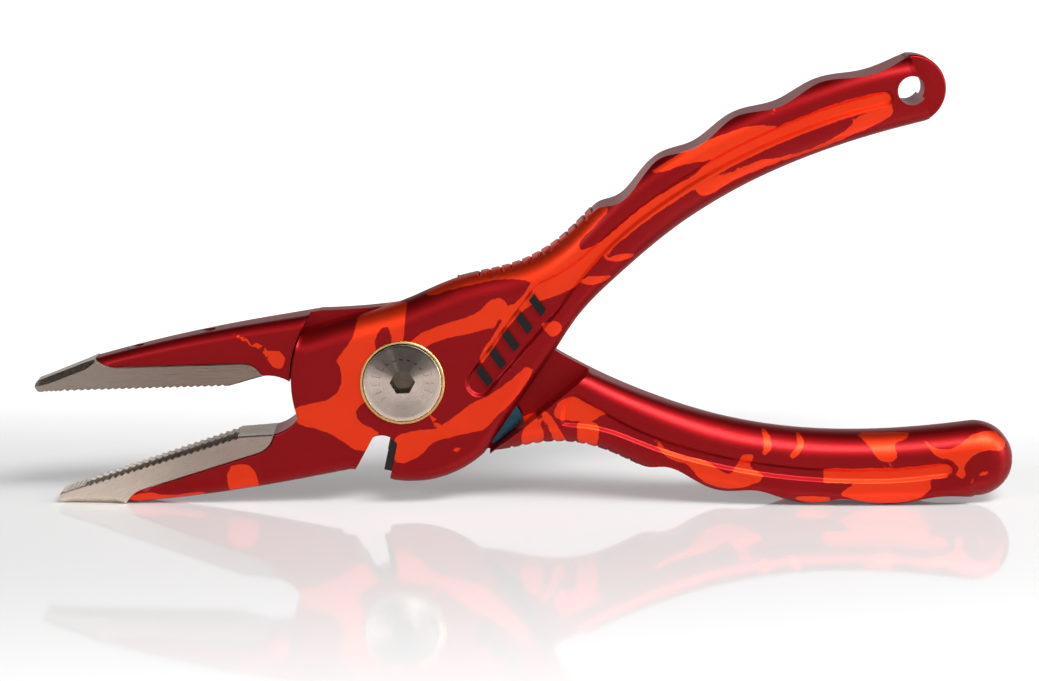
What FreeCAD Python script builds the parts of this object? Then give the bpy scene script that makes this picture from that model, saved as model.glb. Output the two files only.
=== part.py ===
import FreeCAD, Part
import math
import os
from FreeCAD import Vector

# Fishing pliers: two aluminium levers in a half-lap joint, with screwed-on steel jaw
# inserts, carbide line cutters, a bushed pivot bolt, a flat return spring between the
# laps and a stop pin.
#
# Each lever is drawn closed, in its own frame: the pivot axis is Y through the
# origin, the handle runs along +X on the +Z side, the jaw along -X on the -Z side,
# and the lever's half of the lap is on the -Y side. The rear lever comes from the
# same drawing, turned half a turn about X.

# Driving dimensions, in millimetres and degrees.
THICKNESS = 15.0            # overall, across both halves of the lap
LAP_FACE = 0.15             # each lap face's distance from the mid plane
OPENING = 16.4              # turn between the levers, from closed to the open stop
ROUND_OVER = 3.2            # long edges of the levers
HEAD_RADIUS = 26.05         # left edge of the lap, about the pivot
HEAD_CLEARANCE = 0.4        # between a head and the other lever's jaw shoulder
JAW_TIP_X = -86.3
JAW_TIP_HALF = 3.5          # half thickness of the jaw at its tip
JAW_ROOT_X = -26.0
JAW_ROOT_HALF = 5.9         # half thickness of the jaw at its shoulder
GRIP_Z = -0.15              # gripping face, when closed
INSERT_DEPTH = 5.4          # steel insert, below the gripping face
TOOTH_DEPTH = 0.55
TOOTH_PITCH = 1.65
SCREW_PLACES = [(-62.5, -9.35), (-45.5, -12.45)]  # insert screws' heads
SCREW_RADIUS = 1.1
SCREW_HEAD_RADIUS = 2.1
TEETH_FROM_X = -79.5
TEETH_TO_X = -41.0
EDGE_ANGLE = 52.5           # inner edges of the lap, and the shoulders they face
EDGE_OFFSET = 25.6
SHOULDER_OFFSET = 26.45
FLUTE_DEPTH = 0.6
FLUTE_END_X = 128.0
JIMPING_TEETH = 12
JIMPING_DEPTH = 1.0
JIMPING_HALF = 0.4
JIMPING_FROM_X = 24.9
JIMPING_STEP = 2.47
END_X = 142.7               # far end of the handle
HOLE_CENTRE = (132.4, 27.1) # lanyard hole
HOLE_RADIUS = 3.3
TAB_HALF = 3.5              # half thickness of the lanyard tab
TAB_X = 134.5
TAB_RADIUS = 8.25
CUT_ANGLE = 239.4           # cutting edges when closed, about the pivot
NOTCH_ANGLE = 16.0          # opening of each line-cutting notch
NOTCH_TOP = 13.4            # notch's distance from the pivot
BLADE_PROUD = 1.8           # blade beyond the wall that holds it
BLADE_WIDTH = 5.6
BLADE_THICKNESS = 2.8
COLLAR_RADIUS = 9.9
COLLAR_FRONT = 8.0
BOLT_HEAD_RADIUS = 9.12
BARREL_RADIUS = 7.0
SHANK_RADIUS = 5.0
RUNNING_CLEARANCE = 0.04
THREAD_RADIUS = 3.0
HEX_ACROSS = 5.2
WASHER_RADIUS = 11.5
WASHER_HALF = 0.4
SPRING_HALF = 1.1           # half thickness of the flat spring
SPRING_POCKET = 1.35        # pocket floors, from the mid plane
SPRING_RADIUS = 14.2
SPRING_BEND = 46.0          # the bend's reach each side of the line between the levers
SPRING_ROOM = 3.4           # room outside the bend, for it to open into
SPRING_WIDTH = 3.2
SPRING_EYE = (22.0, 11.5)   # spring pin in the lever's own frame
SPRING_EYE_RADIUS = 5.5
SPRING_PIN_RADIUS = 1.2
STOP_RADIUS = 18.0
STOP_ANGLE = 160.0          # stop pin's place when closed, in the front lever's frame
STOP_PIN_RADIUS = 1.5
STOP_GAP = 0.3
BADGE_MARKS = 5
BADGE_PITCH = 5.2

HALF = THICKNESS / 2
FAR = 400.0

# How far each handle's edges stand beyond the shared drawing: beside the lap, and at the end.
FRONT_BACK, FRONT_INNER, FRONT_FLUTE = (1.0, 1.0), (1.0, 1.7), (0.5, 1.4)
REAR_BACK, REAR_INNER, REAR_FLUTE = (0.0, 0.0), (-0.3, -1.1), (0.0, -0.3)

# Outer edge of the handle, through the tops and bottoms of the finger scallops.
SCALLOPS = [
    (54.2, 22.2), (55.8, 22.9), (60.0, 22.7), (65.5, 25.0), (73.5, 29.4), (81.0, 29.2),
    (92.5, 33.0), (102.5, 32.2), (113.0, 34.3), (123.5, 32.6), (133.6, 33.4),
]
# The same edge before the scallops are milled.
BACK_OF_HANDLE = [
    (20.0, 18.3), (33.0, 16.7), (45.0, 18.4), (54.5, 22.9), (73.5, 30.0), (93.0, 33.6), (113.0, 34.8),
    (124.0, 34.6), (133.6, 33.6),
]
# Inner edge of the handle, from the crotch to the end.
INNER_EDGE = [
    (43.6, 0.25), (55.6, 6.2), (68.0, 11.1), (80.0, 14.6), (92.0, 16.9), (104.0, 18.05),
    (116.0, 18.3), (128.0, 17.8), (133.5, 17.38),
]
# Edges of the shallow flute in each side of the handle.
FLUTE_OUTER = [
    (36.7, 12.0), (45.0, 13.2), (56.5, 17.9), (68.6, 22.2), (81.0, 25.4), (93.0, 27.4), (105.0, 28.5),
    (117.0, 28.7), (126.4, 28.0),
]
FLUTE_INNER = [
    (40.0, 3.8), (52.6, 12.2), (66.7, 18.2), (80.0, 21.8), (92.0, 23.9), (104.0, 24.9), (116.0, 25.1),
    (126.2, 24.2),
]
# Outer edge of the jaw, from the steel tip to the head.
JAW_EDGE = [(-71.8, -7.5), (-59.5, -10.2), (-47.5, -12.4), (-35.6, -14.2), (-23.7, -15.7), (-18.4, -16.4)]
TOE = (JAW_TIP_X + 0.5, -2.6)   # where the tip rests
HEEL = (-32.6, -2.3)            # where the insert ends under the head


def point(x, z, y=0.0):
    """A point given the way the drawings are: along, up, and across last."""
    return Vector(x, y, z)


def polar(radius, degrees):
    """Along and up of a point at a radius and angle about the pivot."""
    turn = math.radians(degrees)
    return radius * math.cos(turn), radius * math.sin(turn)


def spline(points):
    """A smooth edge through points."""
    curve = Part.BSplineCurve()
    curve.interpolate([point(*p) for p in points])
    return curve.toShape()


def moved(points, beyond):
    """An edge of a handle, moved by more and more from the lap to the handle's end."""
    near, far = beyond
    shifted = []
    for x, z in points:
        if x < 45.0:
            rise = near * (x - 20.0) / 25.0
        else:
            rise = near + (far - near) * (x - 45.0) / 90.0
        shifted.append((x, z + rise))
    return shifted


def line(a, b):
    return Part.makeLine(point(*a), point(*b))


def arc(a, b, c):
    return Part.Arc(point(*a), point(*b), point(*c)).toShape()


def slab(edges, low, high):
    """A closed outline given a thickness, from y = low to y = high."""
    wire = Part.Wire(Part.__sortEdges__(edges))
    face = Part.Face(wire)
    solid = face.extrude(Vector(0, high - low, 0))
    solid.translate(Vector(0, low, 0))
    return solid


def polygon(points, low, high):
    """A straight-sided outline given a thickness."""
    closed = list(points) + [points[0]]
    return slab([line(a, b) for a, b in zip(closed, closed[1:])], low, high)


def rod(radius, low, high, centre=(0.0, 0.0)):
    """A round bar along Y."""
    return Part.makeCylinder(radius, high - low, point(*centre, low), Vector(0, 1, 0))


def half_plane(normal_degrees, offset, low, high):
    """Everything further than offset from the pivot along a direction."""
    shape = Part.makeBox(FAR, high - low, 2 * FAR, Vector(offset, low, -FAR))
    shape.rotate(Vector(0, 0, 0), Vector(0, -1, 0), normal_degrees)
    return shape


def sector(inner, outer, start, end, low, high):
    """A piece of a ring about the pivot."""
    middle = (start + end) / 2
    edges = [
        arc(polar(outer, start), polar(outer, middle), polar(outer, end)),
        arc(polar(inner, start), polar(inner, middle), polar(inner, end)),
        line(polar(inner, start), polar(outer, start)),
        line(polar(inner, end), polar(outer, end)),
    ]
    return slab(edges, low, high)


def fuse(shapes):
    return shapes[0].multiFuse(shapes[1:]).removeSplitter()


def cut(shape, tools):
    return shape.cut(fuse(tools) if len(tools) > 1 else tools[0])


def one_solid(shape):
    """The solid of a shape that has only one."""
    if len(shape.Solids) != 1:
        raise ValueError("expected one solid, found %d" % len(shape.Solids))
    return shape.Solids[0]


def jaw_taper():
    """The plan view of a lever: thick over the lap and handle, thin at the jaw's tip."""
    tip = JAW_TIP_X - 1.0
    front = [(tip, -JAW_TIP_HALF), (JAW_ROOT_X + 4.0, -HALF), (FAR, -HALF)]
    rear = [(FAR, HALF), (-15.0, HALF), (-18.0, JAW_ROOT_HALF + 0.3), (tip, JAW_TIP_HALF)]
    points = [Vector(x, y, -FAR) for x, y in front + rear]
    face = Part.Face(Part.makePolygon(points + [points[0]]))
    return face.extrude(Vector(0, 0, 2 * FAR))


def seat_edges():
    """The curved edge where the jaw meets its steel insert."""
    bottom = GRIP_Z - INSERT_DEPTH
    return [
        spline([JAW_EDGE[0], (-70.0, -6.3), (-67.0, bottom)]),
        line((-67.0, bottom), (-37.5, bottom)),
        arc((-37.5, bottom), (-34.0, bottom + 1.4), HEEL),
    ]


def insert_outline():
    """The steel jaw insert: tip, gripping edge, and the curved edge that meets the jaw."""
    top = (JAW_TIP_X + 0.9, GRIP_Z)
    return seat_edges() + [
        arc(top, (JAW_TIP_X + 0.1, GRIP_Z - 0.9), TOE),
        line(TOE, JAW_EDGE[0]),
        line(HEEL, (TEETH_TO_X, GRIP_Z)),
        line((TEETH_TO_X, GRIP_Z), top),
    ]


def jaw_teeth():
    """The vees between the teeth of one insert."""
    count = int((TEETH_TO_X - TEETH_FROM_X) / TOOTH_PITCH)
    vees = []
    for index in range(count):
        x = TEETH_FROM_X + index * TOOTH_PITCH
        bottom = (x + TOOTH_PITCH / 2, GRIP_Z - TOOTH_DEPTH)
        end = (x + TOOTH_PITCH * 0.9, GRIP_Z + 0.1)
        vees.append(polygon([(x, GRIP_Z + 0.1), bottom, end], -HALF, HALF))
    return vees


def jaw_insert():
    insert = slab(insert_outline(), -HALF, HALF).common(jaw_taper())
    return cut(insert, jaw_teeth())


def screw_blanks(x, back):
    """The countersunk head and the shank of an insert screw, from the back of the jaw."""
    up = Vector(0, 0, 1)
    head = Part.makeCone(SCREW_HEAD_RADIUS, SCREW_RADIUS, 1.2, Vector(x, 0, back), up)
    shank = Part.makeCylinder(SCREW_RADIUS, -back - 2.2, Vector(x, 0, back), up)
    return head, shank


def insert_screws():
    """Countersunk screws from the back of the jaw up into its insert."""
    screws = []
    for x, back in SCREW_PLACES:
        socket = Part.makeCylinder(0.75, 0.9, Vector(x, 0, back - 0.1), Vector(0, 0, 1))
        screws.append(fuse(screw_blanks(x, back)).cut(socket))
    return screws


def screw_holes():
    """Room for the insert screws, open at the back of the jaw."""
    holes = []
    for x, back in SCREW_PLACES:
        recess = Part.makeCylinder(SCREW_HEAD_RADIUS, 4.0, Vector(x, 0, back - 4.0), Vector(0, 0, 1))
        holes += [recess, *screw_blanks(x, back)]
    return holes


def edge_point(along):
    """A point on the lap's inner edge, a distance along it from its foot."""
    normal_x, normal_z = polar(EDGE_OFFSET, -EDGE_ANGLE)
    step_x, step_z = polar(along, 90.0 - EDGE_ANGLE)
    return normal_x + step_x, normal_z + step_z


def outline(has_lobe, low, high):
    """The lever from its jaw to the end of its handle, before anything is milled."""
    throat = polar(HEAD_RADIUS, 181.0)
    shoulder = polar(HEAD_RADIUS, 158.0)
    corner = polar(HEAD_RADIUS, 136.2)
    back = moved(BACK_OF_HANDLE, FRONT_BACK if has_lobe else REAR_BACK)
    inner = moved(INNER_EDGE, FRONT_INNER if has_lobe else REAR_INNER)
    end = (END_X, (back[-1][1] + inner[-1][1]) / 2)
    foot = edge_point(-4.0 if has_lobe else 1.0)
    jaw_end = JAW_EDGE[-1]
    edges = seat_edges() + [
        arc(HEEL, (-29.2, -2.0), throat),
        arc(throat, shoulder, corner),
        spline([corner, (-6.0, 17.6), (6.0, 17.3)] + back),
        arc(back[-1], end, inner[-1]),
        spline([edge_point(27.0)] + inner),
        line(edge_point(27.0), foot),
        spline(JAW_EDGE),
    ]
    if has_lobe:
        lobe_end = (-10.6, -21.6)
        edges += [arc(foot, (2.5, -25.0), lobe_end), line(lobe_end, jaw_end)]
    else:
        edges.append(arc(foot, (2.0, -17.4), jaw_end))
    return slab(edges, low, high)


def blank(has_lobe):
    """Half of the lap, and the full thickness of the handle and the jaw."""
    lap = outline(has_lobe, -HALF, -LAP_FACE)
    rear = outline(has_lobe, -LAP_FACE, HALF)
    handle = rear.common(half_plane(EDGE_ANGLE, SHOULDER_OFFSET, -LAP_FACE, HALF))
    beside_jaw = Part.makeBox(FAR, THICKNESS, FAR, Vector(-FAR - 12.0, -HALF, -FAR / 2))
    jaw = rear.cut(rod(HEAD_RADIUS + HEAD_CLEARANCE, -LAP_FACE, HALF)).common(beside_jaw)
    return fuse([lap, handle, jaw]).common(jaw_taper())


def soften_back(lever):
    """Rounds the long outer edges of the handle, and of the jaw on its far side."""
    edges = []
    for edge in lever.Edges:
        middle = edge.valueAt((edge.FirstParameter + edge.LastParameter) / 2)
        on_handle = middle.z > 20.0
        on_jaw = middle.z < -10.0 and middle.y > 0
        if edge.Length > 50.0 and abs(middle.y) > JAW_TIP_HALF and (on_handle or on_jaw):
            edges.append(edge)
    return lever.makeFillet(ROUND_OVER, edges)


def scallop_cutter(beyond):
    """Everything outside the finger scallops, milled straight across the handle."""
    scallops = moved(SCALLOPS, beyond)
    first, last = scallops[0], scallops[-1]
    top = 45.0
    edges = [
        spline(scallops),
        line(first, (first[0] - 1.0, top)),
        line((first[0] - 1.0, top), (last[0], top)),
        line((last[0], top), last),
    ]
    return slab(edges, -HALF - 1, HALF + 1)


def jimping_cutters(beyond):
    """Thumb jimping: vees across the back, between the head and the first scallop."""
    points = moved(BACK_OF_HANDLE, beyond)
    back = spline(points).Curve
    vees = []
    for index in range(JIMPING_TEETH):
        x = JIMPING_FROM_X + index * JIMPING_STEP
        after = next(number for number, place in enumerate(points) if place[0] > x)
        (x0, z0), (x1, z1) = points[after - 1], points[after]
        near = back.parameter(point(x, z0 + (z1 - z0) * (x - x0) / (x1 - x0)))
        place = back.value(near)
        along = back.tangent(near)[0]
        out = Vector(-along.z, 0, along.x)
        corners = [
            place - along * JIMPING_HALF * 1.6 + out * JIMPING_DEPTH * 0.6,
            place - out * JIMPING_DEPTH,
            place + along * JIMPING_HALF * 1.6 + out * JIMPING_DEPTH * 0.6,
        ]
        vees.append(polygon([(c.x, c.z) for c in corners], -HALF - 1, HALF + 1))
    return vees


def flute_cutter(low, high, starts_at_head, beyond):
    """The flute in one side of the handle; the lap's side runs on over the head."""
    outer = moved(FLUTE_OUTER, beyond)
    inner = moved(FLUTE_INNER, beyond)
    end = (FLUTE_END_X, (outer[-1][1] + inner[-1][1]) / 2)
    edges = [spline(outer), spline(inner), arc(outer[-1], end, inner[-1])]
    if starts_at_head:
        top = (14.8, -3.3)
        bottom = (18.7, -8.8)
        edges += [line(outer[0], top), arc(top, (14.2, -7.8), bottom), line(bottom, inner[0])]
    else:
        edges.append(arc(outer[0], (36.6, 9.0), inner[0]))
    return slab(edges, low, high)


def tab_cutters():
    """Thins the end of the front handle to the lanyard tab, and pierces it."""
    beyond = Part.makeBox(40.0, THICKNESS + 2, 60.0, Vector(TAB_X, -HALF - 1, 0))
    tab = rod(TAB_RADIUS, -TAB_HALF, TAB_HALF, HOLE_CENTRE)
    return [beyond.cut(tab), rod(HOLE_RADIUS, -HALF - 1, HALF + 1, HOLE_CENTRE)]


def along_cut(radius, across):
    """A point by its distance along the cutting line, and across it."""
    base_x, base_z = polar(radius, CUT_ANGLE)
    side_x, side_z = polar(across, CUT_ANGLE + 90.0)
    return base_x + side_x, base_z + side_z


def notch_cutter(side):
    """A lever's line-cutting notch: side is 1 for the front lever and -1 for the rear."""
    top = along_cut(NOTCH_TOP, side * BLADE_PROUD)
    mouth = along_cut(32.0, side * BLADE_PROUD)
    far_angle = CUT_ANGLE - side * NOTCH_ANGLE
    points = [top, mouth, polar(32.0, far_angle), polar(NOTCH_TOP + 0.5, far_angle)]
    if side > 0:
        return polygon(points, -HALF - 1, 0)
    return polygon(points, 0, HALF + 1)


def blade(side):
    """A carbide line cutter, let into the lap face beside its notch."""
    outer = 22.4 if side > 0 else 19.8
    inner = NOTCH_TOP + 0.2
    across = side * BLADE_WIDTH
    points = [along_cut(inner, 0), along_cut(outer, 0), along_cut(outer, across), along_cut(inner, across)]
    near = LAP_FACE + 0.05
    if side > 0:
        return polygon(points, -near - BLADE_THICKNESS, -near)
    return polygon(points, near, near + BLADE_THICKNESS)


def blade_pocket(side):
    """Room for a blade, open at the lap face."""
    body = blade(side)
    skim = blade(side)
    skim.translate(Vector(0, side * 0.5, 0))
    return body.fuse(skim).removeSplitter()


def blade_screw(side):
    """The countersunk screw through a blade, from the lap face."""
    centre = along_cut(17.0, side * (BLADE_WIDTH + BLADE_PROUD) / 2)
    near = LAP_FACE + 0.1
    place = point(*centre, -side * near)
    into = Vector(0, -side, 0)
    head = Part.makeCone(1.6, 0.9, 1.0, place, into)
    shank = Part.makeCylinder(0.9, 5.6, place, into)
    return head.fuse(shank).removeSplitter()


def collar(side):
    """A brass collar: a cup round the bolt's head, and the bush that the bolt turns in."""
    cup = rod(COLLAR_RADIUS, 5.6, COLLAR_FRONT)
    barrel = rod(BARREL_RADIUS, LAP_FACE + 0.05, 5.6)
    pocket = rod(BOLT_HEAD_RADIUS + 0.08, 6.2, COLLAR_FRONT + 1)
    bore = rod(SHANK_RADIUS + RUNNING_CLEARANCE, -1, 7)
    body = cut(cup.fuse(barrel).removeSplitter(), [pocket, bore])
    if side > 0:
        body.rotate(Vector(0, 0, 0), Vector(1, 0, 0), 180)
    return body


def hex_prism(low, high):
    corners = [polar(HEX_ACROSS / math.sqrt(3), 60 * index) for index in range(6)]
    return polygon(corners, low, high)


def dished_head(face, back):
    """A round head with a shallow dish and a hex socket, its face at y = face."""
    out = 1 if face > back else -1
    head = rod(BOLT_HEAD_RADIUS, min(face, back), max(face, back))
    ball_radius = 46.0
    dish_depth = 0.75
    ball = Part.makeSphere(ball_radius, Vector(0, face + out * (ball_radius - dish_depth), 0))
    return head.cut(ball)


def pivot_bolt():
    """Head in the front collar, plain shank through both, thread into the nut."""
    head = dished_head(-8.2, -6.25)
    shank = rod(SHANK_RADIUS, -6.25, 1.5)
    thread = rod(THREAD_RADIUS, 1.5, 6.0)
    return fuse([head, shank, thread]).cut(hex_prism(-9.0, -4.6))


def pivot_nut():
    """A sleeve nut in the rear collar."""
    head = dished_head(8.2, 6.2)
    barrel = rod(SHANK_RADIUS, 1.5, 6.2)
    body = head.fuse(barrel).removeSplitter()
    return cut(body, [rod(THREAD_RADIUS, 1.4, 6.0), hex_prism(6.4, 9.0)])


def spring_pin():
    return rod(SPRING_PIN_RADIUS, -4.5, SPRING_HALF - 0.3, SPRING_EYE)


def spring_pocket():
    """Room in a lap face for the spring's bend, its own end, and the other end's sweep."""
    outer = SPRING_RADIUS + SPRING_WIDTH / 2 + SPRING_ROOM
    gap = 0.4
    bend = sector(WASHER_RADIUS + gap, outer, -64.0, 52.0, -SPRING_POCKET, 0)
    own_end = rod(SPRING_EYE_RADIUS + gap, -SPRING_POCKET, 0, SPRING_EYE)
    own_leg = spring_leg(SPRING_WIDTH / 2 + gap, SPRING_POCKET)
    own_leg.rotate(Vector(0, 0, 0), Vector(0, -1, 0), -OPENING / 2)
    eye_away = math.hypot(*SPRING_EYE)
    reach = SPRING_EYE_RADIUS + gap
    sweep = sector(eye_away - reach - 1.0, eye_away + reach, -60.0, -13.0, -SPRING_POCKET, 0)
    return [bend, own_end, own_leg, sweep]


def spring_end():
    """One eye of the spring in its lever's frame, trimmed clear of the handle's shoulder."""
    eye = rod(SPRING_EYE_RADIUS, -SPRING_HALF, SPRING_HALF, SPRING_EYE)
    wall = half_plane(EDGE_ANGLE, SHOULDER_OFFSET - 0.35, -HALF, HALF)
    pin_hole = rod(SPRING_PIN_RADIUS + 0.08, -HALF, HALF, SPRING_EYE)
    eye = cut(eye, [wall, pin_hole])
    eye.rotate(Vector(0, 0, 0), Vector(0, -1, 0), OPENING / 2)
    return eye


def spring_leg(half_width, half_thickness):
    """The straight run from the bend to an eye, about the line between the levers."""
    turn = math.radians(OPENING / 2)
    eye_x = SPRING_EYE[0] * math.cos(turn) - SPRING_EYE[1] * math.sin(turn)
    eye_z = SPRING_EYE[0] * math.sin(turn) + SPRING_EYE[1] * math.cos(turn)
    start_x, start_z = polar(SPRING_RADIUS, SPRING_BEND)
    run = math.hypot(eye_x - start_x, eye_z - start_z)
    side_x = -(eye_z - start_z) / run * half_width
    side_z = (eye_x - start_x) / run * half_width
    reach = (run - SPRING_PIN_RADIUS - 0.4) / run
    near_x = start_x + (eye_x - start_x) * reach
    near_z = start_z + (eye_z - start_z) * reach
    points = [
        (start_x + side_x, start_z + side_z),
        (near_x + side_x, near_z + side_z),
        (near_x - side_x, near_z - side_z),
        (start_x - side_x, start_z - side_z),
    ]
    elbow = rod(half_width, -half_thickness, half_thickness, (start_x, start_z))
    return fuse([polygon(points, -half_thickness, half_thickness), elbow])


def return_spring():
    """The flat spring as it sits at the open stop, about the line between the levers."""
    half_width = SPRING_WIDTH / 2
    inner = SPRING_RADIUS - half_width
    outer = SPRING_RADIUS + half_width
    bend = sector(inner, outer, -SPRING_BEND, SPRING_BEND, -SPRING_HALF, SPRING_HALF)
    upper = fuse([spring_end(), spring_leg(half_width, SPRING_HALF)])
    lower = upper.copy()
    lower.rotate(Vector(0, 0, 0), Vector(1, 0, 0), 180)
    return fuse([bend, upper, lower])


def stop_slot():
    """The arc slot that the stop pin runs in, in the front lap face."""
    half_width = STOP_PIN_RADIUS + STOP_GAP
    low, high = -3.6, 0
    start = STOP_ANGLE - OPENING
    track = sector(STOP_RADIUS - half_width, STOP_RADIUS + half_width, start, STOP_ANGLE, low, high)
    ends = [rod(half_width, low, high, polar(STOP_RADIUS, angle)) for angle in (start, STOP_ANGLE)]
    return fuse([track] + ends)


def stop_pin():
    return rod(STOP_PIN_RADIUS, -3.2, 5.0, polar(STOP_RADIUS, STOP_ANGLE))


def badge():
    """Slanted bars standing on the floor of the flute, over the lap."""
    marks = []
    run = math.radians(35.0)
    for index in range(BADGE_MARKS):
        step = 2.2 + index * BADGE_PITCH
        centre_x = 16.75 + step * math.cos(run)
        centre_z = -5.95 + step * math.sin(run)
        corners = []
        for along, across in ((-1.5, -1.9), (0.1, -1.9), (1.5, 1.9), (-0.1, 1.9)):
            x = centre_x + along * math.cos(run) - across * math.sin(run)
            z = centre_z + along * math.sin(run) + across * math.cos(run)
            corners.append((x, z))
        marks.append(polygon(corners, -HALF + 0.05, -HALF + FLUTE_DEPTH))
    return Part.makeCompound(marks)


def lever(front):
    """One aluminium lever in its own frame, without the cuts that differ front to rear."""
    body = soften_back(one_solid(blank(front)))
    back_beyond = FRONT_BACK if front else REAR_BACK
    flute_beyond = FRONT_FLUTE if front else REAR_FLUTE
    washer_gap = 0.05 if front else 0.0
    tools = [
        scallop_cutter(back_beyond),
        flute_cutter(-HALF - 1, -HALF + FLUTE_DEPTH, True, flute_beyond),
        flute_cutter(HALF - FLUTE_DEPTH, HALF + 1, False, flute_beyond),
        rod(COLLAR_RADIUS, -HALF - 1, -5.6),
        rod(BARREL_RADIUS, -HALF, 1),
        rod(WASHER_RADIUS + 0.1, -WASHER_HALF - washer_gap, 0),
        rod(SPRING_PIN_RADIUS, -4.5, 0, SPRING_EYE),
    ]
    tools += jimping_cutters(back_beyond) + screw_holes() + spring_pocket()
    for tool in tools:
        body = body.cut(tool)
    return body


def thrust_washer():
    return rod(WASHER_RADIUS, -WASHER_HALF, WASHER_HALF).cut(rod(BARREL_RADIUS + 0.4, -2, 2))


def half_turn(shape):
    """From a lever's own frame to the rear lever's place."""
    turned = shape.copy()
    turned.rotate(Vector(0, 0, 0), Vector(1, 0, 0), 180)
    return turned


def screw_through(blank_blade, side):
    return blank_blade.cut(blade_screw(side))


def front_parts():
    """Every piece that turns with the front lever, closed."""
    body = lever(True)
    tools = tab_cutters() + [notch_cutter(1), blade_pocket(1), blade_screw(1), stop_slot()]
    for tool in tools:
        body = body.cut(tool)
    return {
        "front_lever": one_solid(body),
        "lower_jaw_insert": jaw_insert_with_holes(),
        "lower_insert_screws": Part.makeCompound(insert_screws()),
        "front_cutter": one_solid(screw_through(blade(1), 1)),
        "front_cutter_screw": blade_screw(1),
        "front_collar": one_solid(collar(1)),
        "front_spring_pin": spring_pin(),
        "front_badge": badge(),
    }


def jaw_insert_with_holes():
    """The insert, drilled for its screws."""
    drilled = jaw_insert()
    for tool in screw_holes():
        drilled = drilled.cut(tool)
    return one_solid(drilled)


def rear_parts():
    """Every piece that stays with the rear lever, closed."""
    body = half_turn(lever(False))
    pin = stop_pin()
    tools = [notch_cutter(-1), blade_pocket(-1), blade_screw(-1), pin]
    for tool in tools:
        body = body.cut(tool)
    return {
        "rear_lever": one_solid(body),
        "upper_jaw_insert": half_turn(jaw_insert_with_holes()),
        "upper_insert_screws": half_turn(Part.makeCompound(insert_screws())),
        "rear_cutter": one_solid(screw_through(blade(-1), -1)),
        "rear_cutter_screw": blade_screw(-1),
        "rear_collar": one_solid(collar(-1)),
        "rear_spring_pin": half_turn(spring_pin()),
        "rear_badge": half_turn(badge()),
        "pivot_bolt": one_solid(pivot_bolt()),
        "pivot_nut": one_solid(pivot_nut()),
        "thrust_washer": thrust_washer(),
        "stop_pin": pin,
    }


def seat_tilt():
    """The turn that rests the jaw's tip and the rear handle's scallop on one level."""
    half = math.radians(OPENING / 2)
    across, up = math.cos(half), math.sin(half)
    jaw_x, jaw_z = TOE
    grip_x, grip_z = SCALLOPS[-3][0], -SCALLOPS[-3][1]
    jaw = (jaw_x * across - jaw_z * up, jaw_x * up + jaw_z * across)
    grip = (grip_x * across + grip_z * up, grip_z * across - grip_x * up)
    return math.degrees(math.atan2(jaw[1] - grip[1], grip[0] - jaw[0]))


def main():
    os.makedirs("parts", exist_ok=True)
    tilt = seat_tilt()
    placed = {}
    for parts, turn in ((front_parts(), OPENING / 2), (rear_parts(), -OPENING / 2)):
        for name, shape in parts.items():
            shape.rotate(Vector(0, 0, 0), Vector(0, -1, 0), tilt + turn)
            placed[name] = shape
    spring = one_solid(return_spring())
    spring.rotate(Vector(0, 0, 0), Vector(0, -1, 0), tilt)
    placed["return_spring"] = spring

    # The row's origin is the middle of the underside, as the pliers stand on their edge.
    boxes = [shape.optimalBoundingBox(False) for shape in placed.values()]
    middle_x = (min(b.XMin for b in boxes) + max(b.XMax for b in boxes)) / 2
    middle_y = (min(b.YMin for b in boxes) + max(b.YMax for b in boxes)) / 2
    floor = min(b.ZMin for b in boxes)
    shift = Vector(-middle_x, -middle_y, -floor)
    for name, shape in placed.items():
        shape.translate(shift)
        shape.exportStep("parts/" + name + ".step")
        print(name, shape.isValid(), len(shape.Solids), round(shape.Volume, 1))
    print("pivot", [round(value, 4) for value in shift], "tilt", round(tilt, 3))
    print("size", round(2 * (max(b.XMax for b in boxes) - middle_x), 2),
          round(2 * (max(b.YMax for b in boxes) - middle_y), 2),
          round(max(b.ZMax for b in boxes) - floor, 2))


main()
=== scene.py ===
import math

import bmesh
import bpy
import numpy as np
from mathutils import Matrix, Vector
from mathutils.geometry import delaunay_2d_cdt


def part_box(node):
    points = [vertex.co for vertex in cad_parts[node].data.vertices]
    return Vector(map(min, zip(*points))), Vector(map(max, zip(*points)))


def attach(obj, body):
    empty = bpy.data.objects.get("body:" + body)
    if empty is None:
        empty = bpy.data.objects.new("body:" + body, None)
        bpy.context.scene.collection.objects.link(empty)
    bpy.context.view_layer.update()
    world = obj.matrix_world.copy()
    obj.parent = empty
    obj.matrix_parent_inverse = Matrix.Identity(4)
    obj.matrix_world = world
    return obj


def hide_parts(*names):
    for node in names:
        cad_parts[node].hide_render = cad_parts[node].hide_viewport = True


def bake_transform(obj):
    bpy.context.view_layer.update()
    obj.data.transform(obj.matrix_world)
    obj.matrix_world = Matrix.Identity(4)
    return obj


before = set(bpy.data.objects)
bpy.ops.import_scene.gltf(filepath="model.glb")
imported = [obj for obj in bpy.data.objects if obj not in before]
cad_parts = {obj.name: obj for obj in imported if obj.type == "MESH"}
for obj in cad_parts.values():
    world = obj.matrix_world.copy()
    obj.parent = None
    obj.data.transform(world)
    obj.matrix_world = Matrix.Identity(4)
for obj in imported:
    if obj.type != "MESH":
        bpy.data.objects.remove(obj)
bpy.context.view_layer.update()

# Fishing pliers, drawn in millimetres in each lever's own frame: the pivot axis is Y
# through the origin, the handle runs along +X on the +Z side, the jaw along -X on the
# -Z side, and the lever's half of the lap is on the -Y side. The rear lever is the
# same drawing turned half a turn about X.

MM = 0.001

# How the pliers stand.
SEAT_TILT = 10.431
OPENING = 16.4
PIVOT_LOW, PIVOT_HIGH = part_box("thrust_washer")
PIVOT = (PIVOT_LOW + PIVOT_HIGH) / 2

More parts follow.
